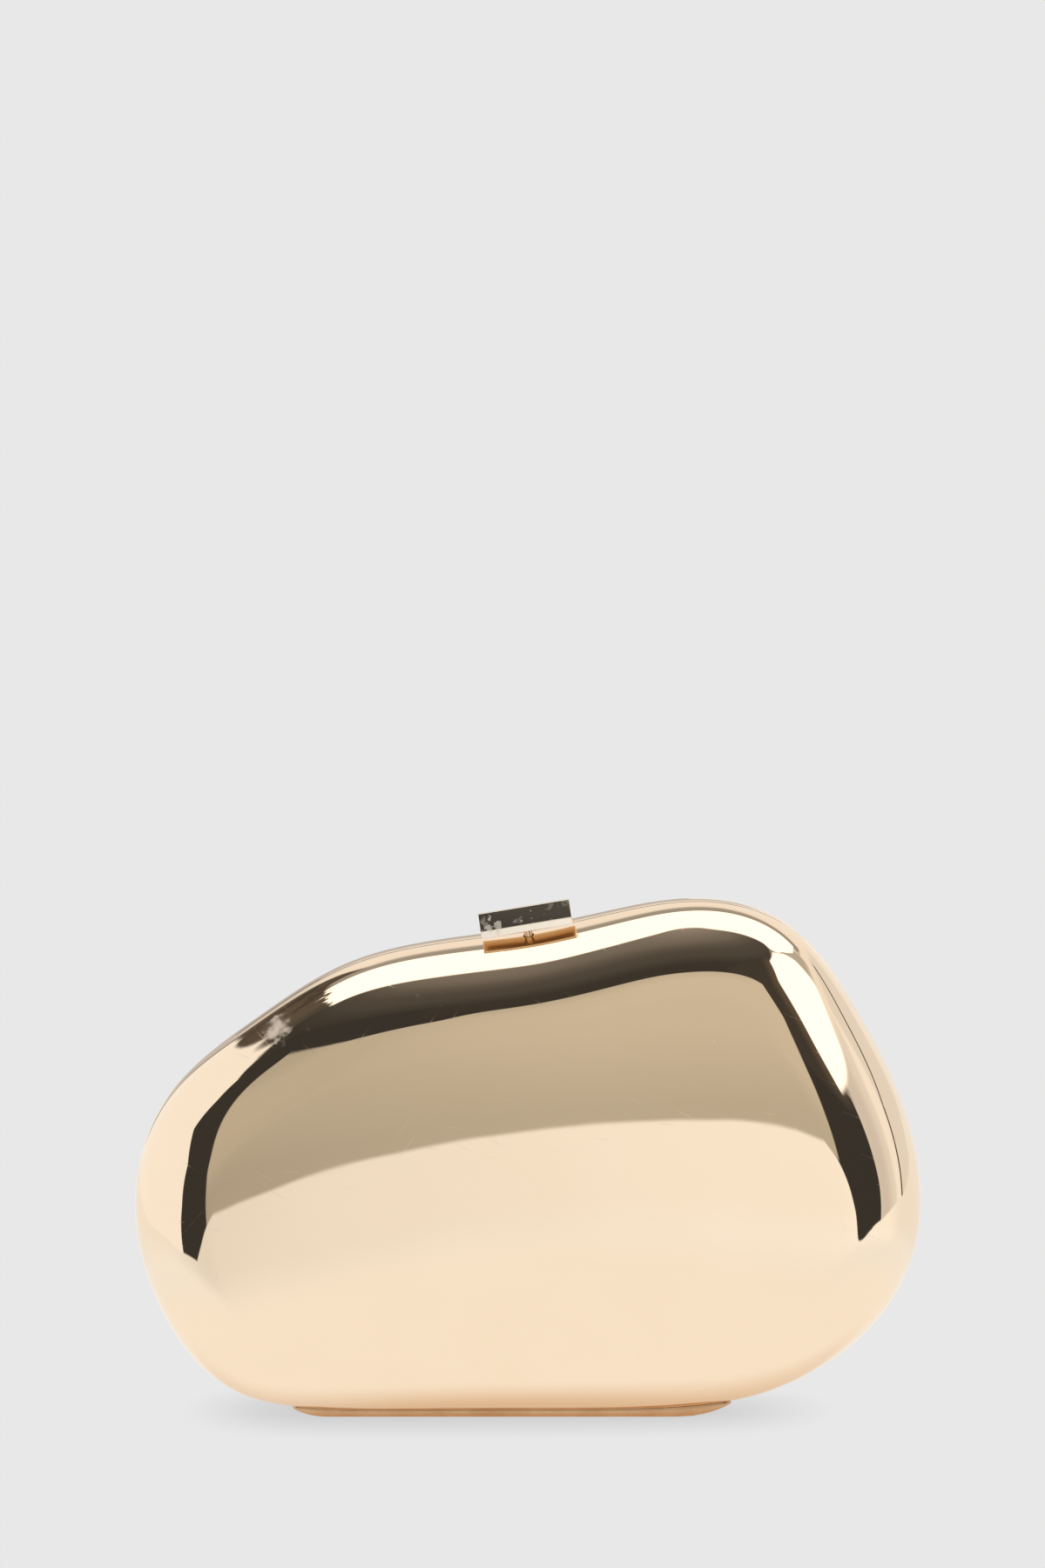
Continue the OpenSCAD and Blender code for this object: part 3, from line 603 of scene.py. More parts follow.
def stud_holes(places):
    hole = rod(STUD_R + FIT, -PAD_LOW - OVER, -STUD_TOP + SEAT)
    return [placed(moved(hole, x, y), at_clasp) for x, y in places]


FRONT_STUDS = [(x, -STEM_Y) for x in (-STUD_X_FRONT, STUD_X_FRONT)]
BACK_STUDS = [(x, STUD_Y_BACK) for x in (-STUD_X_BACK, STUD_X_BACK)]
polished = [shell("front", [stem_hole(CLEAR, -FRAME_IN)]), shell("back", [])]
satin = [
    stiffening_frame("front", clasp_pad(PAD_HALF), [stem_hole(FIT, -PAD_LOW - OVER)] + stud_holes(FRONT_STUDS)),
    stiffening_frame("back", clasp_pad(BACK_PAD_HALF), stud_holes([(x, -y) for x, y in BACK_STUDS])),
    collar(), clasp_stem(),
]
rails = [foot_rail("front", 1), foot_rail("back", 0)]
brass = [
    rivets("front"), rivets("back"),
    studs("housing_studs", "front", FRONT_STUDS), studs("striker_studs", "back", BACK_STUDS),
    sheet_metal("guide_bush", "front", SHEET_EDGE / 2),
]
steel = [
    hinge_pin(), latch_spring(),
    sheet_metal("striker", "back", SHEET_EDGE), sheet_metal("latch_housing", "front", SHEET_EDGE),
    sheet_metal("latch_bolt", "button", SHEET_EDGE), sheet_metal("retaining_clip", "button", SHEET_EDGE / 2),
]
linings = [
    lining("front", FRAME_IN + LINING_FIT, COLLAR_PROUD + CLEAR,
           lining_opening(PAD_HALF, PRONG_REACH + 2 * CLEAR, GUIDE_END)),
    lining("back", FRAME_IN + COLLAR_FIT + COLLAR_T + LINING_FIT, HALF_SEAM + CLEAR,
           lining_opening(EAR_END, FRAME_D + CLEAR, PRONG_LOW + 2 * CLEAR)),
]
button = clasp_bar()


# Camera
PHOTO_W, PHOTO_H = 1200, 1800
PX_PER_MM, VIEW_DISTANCE, SENSOR = 4.515, 5000, 36
VIEW_ELEVATION = math.radians(17)
# Pixels of the photograph that show the seam's bottom at x = 0, and the middle of the clutch
SEAM_BOTTOM_PX = (606.5, 1614.5)
MIDDLE_PY = 1330


def add_camera():
    """A long lens 17 degrees above the table, aimed above the clutch so that it sits low in the frame."""
    middle_x = (PHOTO_W / 2 - SEAM_BOTTOM_PX[0]) / PX_PER_MM
    middle_z = FOOT_H + (SEAM_BOTTOM_PX[1] - MIDDLE_PY) / PX_PER_MM / math.cos(VIEW_ELEVATION)
    back = Vector((0, -math.cos(VIEW_ELEVATION), math.sin(VIEW_ELEVATION)))
    up_angle = math.atan((MIDDLE_PY - PHOTO_H / 2) / PX_PER_MM / VIEW_DISTANCE)
    data = bpy.data.cameras.new("camera")
    data.sensor_width = SENSOR
    data.lens = SENSOR * VIEW_DISTANCE / (PHOTO_H / PX_PER_MM)
    data.clip_end = 100
    camera = linked("camera", data)
    camera.location = (Vector((middle_x, 0, middle_z)) + back * VIEW_DISTANCE) * MM
    camera.rotation_euler = (math.pi / 2 - VIEW_ELEVATION + up_angle, 0, 0)
    bpy.context.scene.camera = camera


add_camera()


# Material helpers
class Nodes:
    """Short calls that add nodes to a tree and link their inputs."""

    def __init__(self, tree):
        self.tree = tree
        tree.nodes.clear()

    def add(self, kind, **settings):
        node = self.tree.nodes.new("ShaderNode" + kind)
        for key, value in settings.items():
            setattr(node, key, value)
        return node

    def feed(self, socket, value):
        if isinstance(value, bpy.types.NodeSocket):
            self.tree.links.new(value, socket)
        else:
            socket.default_value = value

    def put(self, node, **values):
        """Feeds a node's inputs by their names, with _ for a space, and gives the node back."""
        for name, value in values.items():
            self.feed(node.inputs[name.replace("_", " ")], value)
        return node

    def fed(self, kind, **values):
        """A new node with its inputs fed."""
        return self.put(self.add(kind), **values)

    def output(self, kind, shader):
        self.fed("Output" + kind, Surface=shader.outputs[0])

    def coordinate(self, kind="Object"):
        return self.add("TexCoord").outputs[kind]

    def math(self, operation, *values):
        node = self.add("Math", operation=operation)
        for socket, value in zip(node.inputs, values):
            self.feed(socket, value)
        return node.outputs[0]

    def times(self, value, factor):
        return self.math("MULTIPLY", value, factor)

    def times_plus(self, value, factor, extra):
        return self.math("MULTIPLY_ADD", value, factor, extra)

    def minus(self, value, taken):
        return self.math("SUBTRACT", value, taken)

    def most(self, *values):
        """The largest of two or more values."""
        largest = values[0]
        for value in values[1:]:
            largest = self.math("MAXIMUM", largest, value)
        return largest

    def measure(self, operation, vector, other=(0, 0, 0)):
        """A vector's length, its distance from another or their dot product."""
        node = self.add("VectorMath", operation=operation)
        self.feed(node.inputs[0], vector)
        node.inputs[1].default_value = other
        return node.outputs["Value"]

    def step(self, value, low, high):
        """0 below low, 1 above high, with a smooth turn between."""
        node = self.add("MapRange", interpolation_type="SMOOTHSTEP")
        return self.put(node, Value=value, From_Min=low, From_Max=high).outputs[0]

    def scaled(self, colour, factor):
        """One colour multiplied by another colour or by a value."""
        return self.mix(1, colour, factor, "MULTIPLY")

    def mix(self, factor, under, over, blend="MIX"):
        node = self.put(self.add("Mix", data_type="RGBA", blend_type=blend), Factor=factor)
        self.feed(node.inputs[6], under)
        self.feed(node.inputs[7], over)
        return node.outputs[2]

    def mixed(self, factor, first, second):
        """Two shaders mixed."""
        node = self.add("MixShader")
        for socket, value in zip(node.inputs, (factor, first.outputs[0], second.outputs[0])):
            self.feed(socket, value)
        return node

    def between(self, value, start, full, fall, end):
        """1 from full to fall, with smooth turns to 0 at start and end."""
        return self.times(self.step(value, start, full), self.step(value, end, fall))


def new_tree(name):
    material = bpy.data.materials.new(name)
    material.use_nodes = True
    return material, Nodes(material.node_tree)


def grey(value, warm=0.0):
    """A neutral light of a given strength, or one slightly yellow."""
    return value, value * (1 - 0.5 * warm), value * (1 - warm), 1


# Studio
# Far edge of the table seen round the clutch, as (azimuth, elevation)
TABLE_EDGE_FRONT = [
    (-36, -21.8), (-28, -17.5), (-20.6, -13.9), (-14.5, -12.2), (-9, -11.1), (0, -11), (8.5, -10.9),
    (10.6, -11.1), (12.5, -11.8), (14.5, -12.5), (17, -12.9), (20.5, -14), (26, -19.1), (33, -26), (47.4, -23.2)]
TABLE_EDGE_SIDES = [
    (-180, -9), (-150, -11), (-131, -13.3), (-104, -17.8), (-78, -19.2), (-54, -21.8), (-36, -21.8), (-33, -30),
    (45, -30), (47.4, -23.2), (64.2, -19.4), (80, -15.9), (97.7, -12.8), (122, -11.2), (140, -3), (156, -6),
    (180, -9)]
# Light of the table towards its far edge, by azimuth
TABLE_FAR = [(-180, 0.92), (-80, 0.94), (-45, 0.86), (-25, 0.82), (-10, 0.9), (0, 0.95), (12, 1), (40, 1.05),
             (70, 1.04), (100, 0.92), (180, 0.9)]
# Colour of the table by elevation
TABLE_TONES = [
    (-90, (0.93, 0.89, 0.83)), (-75, (0.97, 0.94, 0.91)), (-58, (0.99, 0.99, 0.98)), (-45, (0.98, 0.985, 0.99)),
    (-33, (0.93, 0.955, 0.99)), (-26, (0.945, 0.965, 0.985)), (-20, (0.93, 0.93, 0.92)), (0, (0.96, 0.96, 0.95))]
# Upper edge of the room behind the camera
ROOM_TOP = [
    (-62, 38.5), (-51.5, 35.6), (-37.4, 30.9), (-29, 28.3), (-20, 27.4), (-14, 28.6), (-9.5, 34.5), (-3.3, 35.5),
    (5.5, 34.8), (19, 34.3), (26.7, 32.9), (36, 28)]
ROOM_SHADE = [(-25, 0.8), (-9, 0.82), (0, 0.97), (12, 1.0), (27, 1.0), (34, 0.9), (60, 0.9)]
# Front edge of the overhead softbox, in steps to the right and to the back of a ceiling of height 1
STRIP_FRONT = [
    (-0.95, 0.06), (-0.8, 0.02), (-0.63, 0), (-0.385, -0.03), (-0.25, -0.04), (-0.19, -0.03), (-0.03, 0.03),
    (0.22, -0.03), (0.365, -0.03), (0.65, -0.05), (0.81, -0.11), (1.05, 0.08), (1.3, 0.42)]
# Reach of the dark gap behind that softbox, to the back and to the right: where it starts, is full and ends
GAP_BEHIND, GAP_ACROSS = (0.65, 0.75, 1.07, 1.17), (-0.85, -0.75, 1.45, 1.55)
# Light of the back of the studio and of the ceiling in front, by elevation
BACK_LIGHT = [(-14, 0.5), (5, 0.52), (13, 0.75), (19, 0.93), (35, 0.93), (41, 0.4), (90, 0.36)]
FRONT_LIGHT = [(30, 0.042), (45, 0.048), (53, 0.075), (60, 0.085), (66, 0.12), (71, 0.17), (78, 0.21), (90, 0.3)]
# Panels of the studio as (light, warmth, corners, softness). Corners run anticlockwise in degrees: azimuth from
# the front, positive to the right, and elevation above the table
BACK_PANELS = [
    # wall at the right, darker near the camera and lightest beside an upright dark line
    (0.8, 0.03, [(62, -40), (142, -40), (142, 16), (124, 24), (62, 12)], 3),
    (0.66, 0.05, [(60, -40), (78, -40), (78, 18), (60, 14)], 14),
    (0.96, 0.03, [(88, -40), (97, -14), (103, 4), (98, 20), (88, 12)], 5),
    (0.07, 0.3, [(96.2, -15), (98.8, -15), (105.2, 6), (102.8, 6)], 0.8),
    (0.07, 0.3, [(102.8, 6), (105.2, 6), (125.8, 21.4), (122.2, 21.4)], 0.8),
    # pale wall behind, at the right
    (0.93, 0.04, [(140, -40), (172, -40), (172, 30), (142, 30)], 5),
    # brown haze over the right softbox
    (0.5, 0.12, [(99, 25), (114, 28), (116, 42), (97, 47)], 5),
    # dark gap over the left panel
    (0.11, 0.35, [(-156, 5), (-66, -5), (-66, 48), (-88, 82), (-125, 82), (-156, 48)], 4),
    (0.08, 0.2, [(-103, -5), (-66, -5), (-66, 48), (-88, 82), (-103, 82)], 10),
]
FRONT_PANELS = [
    # dark flag, brown gap and faint glow beside the right softbox
    (0.042, 0.1, [(5, -11), (33, -40), (65, -40), (62.5, -10), (65.5, 8), (50, 9), (15, 12)], 1),
    (0.055, 0.2, [(20, 5), (56, 5), (62, 46), (45, 50), (20, 40)], 2),
    (0.105, 0.4, [(45, 7), (56, 6), (62, 8), (66, 47), (56, 47), (46, 31)], 7),
    # left panel and the dark flag beside it
    (0.042, 0.1, [(-60, -40), (-15, -40), (-10, -11), (-20, 45), (-78, 44)], 1),
    (0.98, 0, [(-165, -40), (-54, -40), (-53, -8), (-57.7, 5.8), (-80, 31)], 0.7),
    (0.98, 0, [(-165, -40), (-70.5, -40), (-70.5, 31.6), (-73.6, 37.7), (-81.5, 41.5), (-90, 43), (-109, 41.2),
               (-118, 38.3), (-127.2, 34.3), (-134.5, 30.3), (-144.6, 23.8), (-153, 16)], 0.7),
    # right softbox
    (1.5, 0, [(50.5, 12), (52, 8), (54.5, 5.5), (62, 7.5), (79, 15.2), (95, 20), (99.5, 26), (98.5, 35),
              (93, 42.5), (79, 49), (62, 45), (53, 31)], 1.5),
]
# Ragged dark smudge in the gap over the left panel, where the noise is above the least and fully above the most
RAGGED_PANEL = (0.07, 0.3, [(-155, 22), (-140, 22), (-122, 38), (-130, 48), (-155, 40)], 6)
RAGGED_LEAST, RAGGED_MOST = 0.42, 0.54
CEILING_FRONT = [(-95, 44), (-75, 30), (20, 25), (95, 58), (95, 91), (-95, 91)]
ROOM_SIDES = [(-19, -15), (20, -13), (35, 14), (36, 60), (-76, 60.2), (-33, -1.4)]

# Light of the camera's background and of the plain world that lights the rough surfaces
PALE, SURROUND = 0.807, 0.62
# Warm, even light and its share in what two mirroring surfaces show of the studio one after the other
MIRRORED_AGAIN, AGAIN_TONE = 0.7, (0.8, 0.66, 0.48, 1)


def linked_curve(n, value, points, low, high):
    """A smooth curve through given (place, value) points, of a node's value between low and high."""
    first, last = points[0][0], points[-1][0]
    node = n.add("FloatCurve")
    curve = node.mapping.curves[0]
    while len(curve.points) < len(points):
        curve.points.new(0.5, 0.5)
    for point, (at, height) in zip(curve.points, points):
        point.location = ((at - first) / (last - first), (height - low) / (high - low))
        point.handle_type = "AUTO_CLAMPED"
    node.mapping.update()
    n.feed(node.inputs["Value"], n.times_plus(value, 1 / (last - first), -first / (last - first)))
    return n.times_plus(node.outputs[0], high - low, low)


def add_world():
    """A pale world for the camera and for soft light, and a studio of panels for the metal to mirror."""
    world = bpy.data.worlds.new("studio")
    world.use_nodes = True
    bpy.context.scene.world = world
    n = Nodes(world.node_tree)
    direction = n.coordinate("Generated")
    x, y, z = n.fed("SeparateXYZ", Vector=direction).outputs
    azimuth = n.times(n.math("ARCTAN2", x, n.times(y, -1.0)), 180 / math.pi)
    elevation = n.times(n.math("ARCSINE", z), 180 / math.pi)
    height = n.most(z, 0.001)
    across, behind = n.math("DIVIDE", x, height), n.math("DIVIDE", y, height)

    def inside(corners, soft):
        """1 inside a convex outline, with soft edges."""
        mask = None
        for (ax, ay), (bx, by) in zip(corners, corners[1:] + corners[:1]):
            length = math.hypot(bx - ax, by - ay)
            nx, ny = -(by - ay) / length, (bx - ax) / length
            away = n.times_plus(azimuth, nx, n.times_plus(elevation, ny, -(nx * ax + ny * ay)))
            edge = n.step(away, -soft / 2, soft / 2)
            mask = edge if mask is None else n.times(mask, edge)
        return mask

    def by_elevation(stops, warm=0.0):
        """A colour for each elevation, from stops with a colour or with a grey's light."""
        node = n.fed("ValToRGB", Fac=n.times_plus(elevation, 1 / 180, 0.5))
        elements = node.color_ramp.elements
        while len(elements) < len(stops):
            elements.new(0.5)
        for element, (at, value) in zip(elements, stops):
            element.position = (at + 90) / 180
            element.color = (*value, 1) if isinstance(value, tuple) else grey(value, warm)
        return node.outputs["Color"]

    def paint(under, panels):
        for light, warm, corners, soft in panels:
            under = n.mix(inside(corners, soft), under, grey(light, warm))
        return under

    colour = by_elevation(BACK_LIGHT, 0.08)
    colour = paint(colour, BACK_PANELS)
    smudge = n.fed("TexNoise", Scale=13, Detail=4, Vector=direction).outputs["Fac"]
    light, warm, corners, soft = RAGGED_PANEL
    mask = n.times(inside(corners, soft), n.step(smudge, RAGGED_LEAST, RAGGED_MOST))
    colour = n.mix(mask, colour, grey(light, warm))
    colour = n.mix(inside(CEILING_FRONT, 3), colour, by_elevation(FRONT_LIGHT, 0.15))
    colour = paint(colour, FRONT_PANELS)

    # room behind the camera, between its two slanting sides
    below = n.minus(linked_curve(n, azimuth, ROOM_TOP, 20, 40), elevation)
    room = n.times(inside(ROOM_SIDES, 0.8), n.step(below, -0.5, 0.5))
    tan = n.mix(n.step(azimuth, -22, 4), (0.525, 0.495, 0.425, 1), (0.63, 0.595, 0.515, 1))
    colour = n.mix(room, colour, n.scaled(tan, by_elevation(ROOM_SHADE)))

    # overhead softbox, with a dark gap behind it
    over = n.step(elevation, 10, 15)
    gap = n.times(n.between(behind, *GAP_BEHIND), n.between(across, *GAP_ACROSS))
    colour = n.mix(n.times(gap, over), colour, grey(0.36, 0.1))
    front = n.minus(behind, linked_curve(n, across, STRIP_FRONT, -0.3, 0.5))
    strip = n.times(n.step(front, -0.02, 0.02), n.step(behind, 0.82, 0.78))
    ragged = n.times_plus(n.minus(smudge, 0.5), 0.35, across)
    strip = n.times(strip, n.times(n.step(ragged, -0.82, -0.76), n.step(across, 1.3, 1.26)))
    colour = n.mix(n.times(strip, over), colour, grey(1.5))

    # table, in front of all that stands round it
    edge = n.most(linked_curve(n, azimuth, TABLE_EDGE_FRONT, -30, 0),
                  linked_curve(n, azimuth, TABLE_EDGE_SIDES, -30, 0))
    table = n.step(n.minus(edge, elevation), -0.35, 0.35)
    far = n.scaled(grey(1.05), linked_curve(n, azimuth, TABLE_FAR, 0.5, 1.1))
    light = n.mix(n.step(elevation, -30, -23), grey(1), far)
    colour = n.mix(table, colour, n.scaled(by_elevation(TABLE_TONES), light))

    path = n.add("LightPath")
    again = n.times(n.step(path.outputs["Glossy Depth"], 1.2, 1.8), MIRRORED_AGAIN)
    colour = n.mix(again, colour, AGAIN_TONE)
    mirrored = n.most(path.outputs["Is Glossy Ray"], path.outputs["Is Transmission Ray"])
    plain = n.mix(path.outputs["Is Camera Ray"], grey(SURROUND), grey(PALE))
    n.output("World", n.fed("Background", Color=n.mix(mirrored, plain, colour)))


# The table's half width and the distances over which mirrors stop seeing it and see the studio's, in metres
FLOOR_HALF = 6
NEAR_FLOOR, FAR_FLOOR = 0.1, 0.17
# Share of the table's colour that mirrors see without its light and shade
FLOOR_MIRRORED = 0.86
# The mirrored table's colour, and a painted contact shadow close under the clutch, darker and warmer with painted
# gold bounce light, within an oval given by its half sizes
FLOOR_TONE, PAINTED_CONTACT_SHADE_TONE = (0.995, 0.985, 0.96, 1), (0.78, 0.6, 0.43, 1)
PAINTED_CONTACT_SHADE_OVAL = (0.075, 0.016)
# Reach of the table's soft shadow in metres, the darkest that it gets and how fast it falls off
SHADOW_REACH, SHADOW_DEPTH, SHADOW_FALL = 0.013, 0.25, 1.6


def add_floor():
    """A pale table that keeps the clutch's soft shadow and lets the half that swings below its level be seen.
    Beyond that shadow the metal mirrors the studio's table instead."""
    mesh = bpy.data.meshes.new("floor")
    corners = [(x * FLOOR_HALF, y * FLOOR_HALF, 0) for x, y in ((-1, -1), (1, -1), (1, 1), (-1, 1))]
    mesh.from_pydata(corners, [], [(0, 1, 2, 3)])
    floor = linked("floor", mesh)
    material, n = new_tree("floor")
    path = n.add("LightPath")
    glossy = path.outputs["Is Glossy Ray"]
    spot = n.coordinate()
    # Painted contact shadow: the table that mirrors see turns darker and warmer within the oval under the clutch
    squeezed = n.fed("Mapping", Scale=(1 / PAINTED_CONTACT_SHADE_OVAL[0], 1 / PAINTED_CONTACT_SHADE_OVAL[1], 1), Vector=spot)
    painted_contact_shade = n.step(n.measure("LENGTH", squeezed.outputs[0]), 0.5, 1.5)
    diffuse = n.fed("BsdfDiffuse", Color=grey(0.8))
    # The emission's colour carries the painted contact shadow near the base
    plain = n.fed("Emission", Color=n.mix(painted_contact_shade, PAINTED_CONTACT_SHADE_TONE, FLOOR_TONE))
    lit = n.mixed(n.times(glossy, FLOOR_MIRRORED), diffuse, plain)
    open_to_sky = n.put(n.add("AmbientOcclusion", samples=4), Distance=SHADOW_REACH)
    hidden = n.math("POWER", n.minus(1.0, open_to_sky.outputs["AO"]), SHADOW_FALL)
    shade = n.times_plus(hidden, -SHADOW_DEPTH, 1.0)
    below = n.add("NewGeometry").outputs["Backfacing"]
    seen = n.times(path.outputs["Is Camera Ray"], n.minus(1.0, below))
    clear = n.fed("BsdfTransparent", Color=n.mix(seen, grey(1), shade))
    far = n.times(glossy, n.step(n.measure("LENGTH", spot), NEAR_FLOOR, FAR_FLOOR))
    n.output("Material", n.mixed(n.most(far, seen, below), lit, clear))
    floor.data.materials.append(material)


# The lamp's strength, its spread and its lean towards the front in degrees
LAMP_POWER, LAMP_SPREAD, LAMP_LEAN = 1.58, 50, 40


def add_lamp():
    """One broad soft light from overhead and in front. The metal mirrors the studio's own softboxes instead."""
    data = bpy.data.lights.new("overhead", "SUN")
    data.energy = LAMP_POWER
    data.angle = math.radians(LAMP_SPREAD)
    lamp = linked("overhead", data)
    lamp.visible_glossy = False
    lamp.rotation_euler = (math.radians(LAMP_LEAN), 0, 0)


add_world()
add_floor()
add_lamp()


# Materials
def new_material(pieces, name, metallic=1):
    """A material that the given pieces wear alone, as its nodes and its shader."""
    material, n = new_tree(name)
    shader = n.fed("BsdfPrincipled", Metallic=metallic)
    n.output("Material", shader)
    for piece in pieces:
        piece.data.materials.clear()
        piece.data.materials.append(material)
    return n, shader


def place_on(n, stretch=(1, 1, 1), turn=0):
    """The place on the object, in metres, turned about Y by degrees and stretched."""
    spin = (0, math.radians(turn), 0)
    return n.fed("Mapping", Rotation=spin, Scale=stretch, Vector=n.coordinate()).outputs[0]


def noise(n, scale, detail=2.0, stretch=(1, 1, 1)):
    return n.fed("TexNoise", Scale=scale, Detail=detail, Vector=place_on(n, stretch)).outputs["Fac"]


# Half width of the hairline scratches in millimetres, and the share of their cells that have one
SCRATCH_HALF, SCRATCH_SHARE = 0.05, 0.05


def hairline(n, turn, spacing, length):
    """Straight, tapered, scattered scratches in one direction, in cells of spacing by length millimetres."""
    split = n.fed("SeparateXYZ", Vector=place_on(n, turn=turn))
    across = n.math("DIVIDE", split.outputs[0], spacing * MM)
    row = n.math("FLOOR", across)
    shift = n.put(n.add("TexWhiteNoise", noise_dimensions="1D"), W=row).outputs["Value"]
    along = n.math("ADD", n.math("DIVIDE", split.outputs[2], length * MM), n.times(shift, 9.0))
    cell = n.fed("CombineXYZ", X=row, Y=n.math("FLOOR", along)).outputs[0]
    chance = n.put(n.add("TexWhiteNoise", noise_dimensions="2D"), Vector=cell).outputs["Value"]
    away, end = [n.math("ABSOLUTE", n.minus(n.math("FRACT", place), 0.5)) for place in (across, along)]
    thin = n.times(n.step(end, 0.48, 0.1), SCRATCH_HALF / spacing)
    return n.times(n.math("LESS_THAN", away, thin), n.math("LESS_THAN", chance, SCRATCH_SHARE))


def specks(n, scale, size, share):
    """Small scattered dots: size is their share of the cell they lie in, share that of the cells with one."""
    node = n.fed("TexVoronoi", Scale=scale, Vector=place_on(n))
    chosen = n.fed("SeparateColor", Color=node.outputs["Color"]).outputs[0]
    return n.times(n.step(node.outputs["Distance"], size, size * 0.5), n.math("LESS_THAN", chosen, share))


def bumped(n, shader, height, distance):
    bump = n.fed("Bump", Strength=1.0, Distance=distance, Height=height)
    n.put(shader, Normal=bump.outputs[0])


# Place of the worn, smudged patch on the rim's upper left, in metres
SMUDGE_AT = (-0.0636, -0.0095, 0.1045)


def polished_gold(pieces):
    """Mirror-polished pale rose gold: soft polishing waves, faint haze, a smudge, hairline scratches and dust."""
    n, shader = new_material(pieces, "polished_gold")
    tone = n.mix(n.step(noise(n, 35, 3), 0.3, 0.7), (0.965, 0.785, 0.585, 1), (0.975, 0.795, 0.6, 1))
    near = n.step(n.measure("DISTANCE", n.coordinate(), SMUDGE_AT), 0.009, 0.001)
    worn = n.step(n.times_plus(near, 0.4, noise(n, 260, 4)), 0.7, 0.98)
    dust = n.most(specks(n, 130, 0.018, 0.3), specks(n, 60, 0.012, 0.35), n.times(worn, 0.28))
    scratch = n.most(hairline(n, 62, 2.6, 7), hairline(n, -38, 3.7, 11), hairline(n, 81, 3.1, 5))
    haze = n.times_plus(n.step(noise(n, 60, 4), 0.45, 0.75), 0.012, 0.02)
    rough = n.times_plus(scratch, 0.15, n.times_plus(worn, 0.25, haze))
    n.put(shader, Base_Color=n.mix(dust, tone, (0.92, 0.9, 0.86, 1)), Metallic=n.times_plus(dust, -0.6, 1.0),
          Roughness=n.most(rough, n.times(dust, 0.6)))
    bumped(n, shader, noise(n, 55, 1), 0.000018)


def satin_metal(pieces, name, tone, rosy, rough):
    """Satin-finished plated metal: fine grain along the piece, uneven tone and rubbed patches."""
    n, shader = new_material(pieces, name)
    patch = n.step(noise(n, 120, 4), 0.35, 0.7)
    grain = noise(n, 2500, 2, (0.05, 1, 1))
    n.put(shader, Base_Color=n.mix(patch, tone, rosy),
          Roughness=n.times_plus(grain, 0.16, n.times_plus(patch, -0.06, rough)))
    bumped(n, shader, grain, 0.000012)


def smoky_mirror(pieces):
    """Mirror plating of the bar with a pale worn patch near one end, blotches, dust, and a satin underside whose
    darker, warmer colour is painted shade.
    """
    n, shader = new_material(pieces, "smoky_mirror")
    worn_at = at_clasp([[0.36 * -BAR_LEN, -STEM_Y - BAR_D / 3, BAR_LIFT + 0.4 * BAR_SLOPE_H]])[0] * MM
    near = n.step(n.measure("DISTANCE", n.coordinate(), tuple(worn_at)), 0.0036, 0.0008)
    worn = n.step(n.times_plus(near, 0.24, noise(n, 620, 5)), 0.66, 0.74)
    blot = n.times(n.step(noise(n, 330, 4), 0.56, 0.66), 0.3)
    mark = n.most(n.times(worn, 0.62), blot, specks(n, 420, 0.07, 0.3))
    down = (-math.sin(CLASP_TILT), 0, -math.cos(CLASP_TILT))
    # Downward faces: more roughness for a satin finish, and a darker, warmer colour that is painted shade of the
    # gap under the bar
    under = n.step(n.measure("DOT_PRODUCT", n.coordinate("Normal"), down), 0.7, 0.9)
    face = n.mix(mark, (0.93, 0.83, 0.7, 1), (0.88, 0.78, 0.66, 1))
    n.put(shader, Base_Color=n.mix(under, face, (0.86, 0.7, 0.5, 1)), Metallic=n.times_plus(mark, -0.45, 1.0),
          Roughness=n.times_plus(n.most(mark, n.times(under, 0.7)), 0.45, 0.04))
    bumped(n, shader, noise(n, 260, 2), 0.000012)


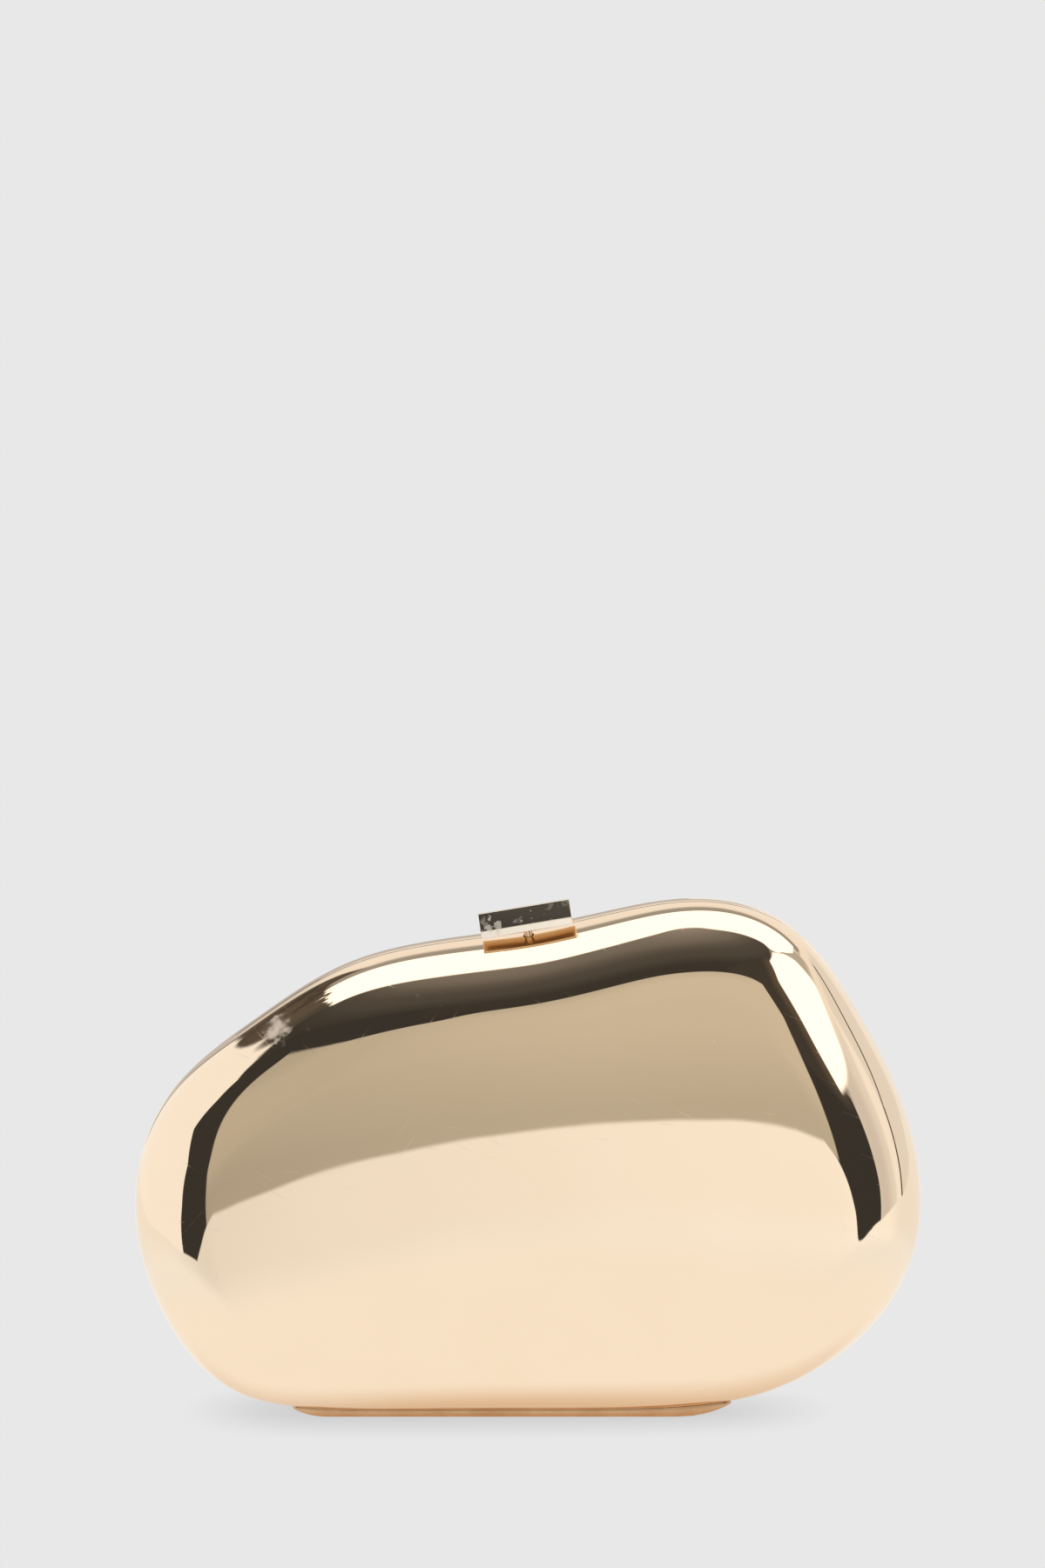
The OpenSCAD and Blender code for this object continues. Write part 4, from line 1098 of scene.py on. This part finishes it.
def brushed_steel(pieces):
    """Bare spring and latch steel with long brushing lines and a little tarnish."""
    n, shader = new_material(pieces, "brushed_steel")
    lines = noise(n, 3200, 3, (0.04, 1, 1))
    stain = n.step(noise(n, 260, 4), 0.5, 0.75)
    n.put(shader, Base_Color=n.mix(stain, (0.62, 0.61, 0.59, 1), (0.45, 0.42, 0.38, 1)),
          Roughness=n.times_plus(lines, 0.2, n.times_plus(stain, 0.12, 0.24)))
    bumped(n, shader, lines, 0.00001)


def turned_brass(pieces):
    """Turned brass of the rivets, studs and bush, dulled in patches."""
    n, shader = new_material(pieces, "turned_brass")
    dull = n.step(noise(n, 480, 4), 0.4, 0.7)
    n.put(shader, Base_Color=n.mix(dull, (0.83, 0.62, 0.36, 1), (0.58, 0.41, 0.24, 1)),
          Roughness=n.times_plus(dull, 0.2, 0.22))
    bumped(n, shader, noise(n, 2600, 2), 0.00001)


def lining_satin(pieces):
    """Warm taupe satin: a fine diagonal weave with slubs, a soft sheen and an uneven tone."""
    n, shader = new_material(pieces, "lining_satin", 0)
    weave = []
    for turn in (35, -55):
        wave = n.add("TexWave", bands_direction="X")
        n.put(wave, Scale=900, Distortion=1.2, Detail=1, Vector=place_on(n, turn=turn))
        weave.append(wave.outputs["Fac"])
    cloth = n.most(weave[0], n.times(weave[1], 0.7))
    slub = n.step(noise(n, 1100, 2, (0.06, 1, 1)), 0.55, 0.75)
    tone = n.mix(n.step(noise(n, 40, 3), 0.3, 0.7), (0.4, 0.345, 0.295, 1), (0.46, 0.4, 0.345, 1))
    shade = n.mix(n.times(cloth, 0.25), tone, (0.56, 0.5, 0.44, 1))
    n.put(shader, Base_Color=n.mix(n.times(slub, 0.16), shade, (0.37, 0.32, 0.28, 1)),
          Roughness=n.times_plus(cloth, -0.1, 0.4), Sheen_Weight=0.25, Sheen_Roughness=0.35)
    bumped(n, shader, n.times_plus(slub, 0.4, cloth), 0.00005)


polished_gold(polished)
satin_metal(satin, "satin_gold", (0.9, 0.7, 0.5, 1), (0.95, 0.77, 0.58, 1), 0.24)
# The foot rails' darker, redder copper tone is partly their own metal and partly painted shade and gold bounce
# light from under the clutch
satin_metal(rails, "copper_satin_and_painted_shade", (0.67, 0.42, 0.24, 1), (0.73, 0.49, 0.3, 1), 0.22)
turned_brass(brass)
brushed_steel(steel)
lining_satin(linings)
smoky_mirror([button])

bpy.context.scene.view_settings.view_transform = "Standard"
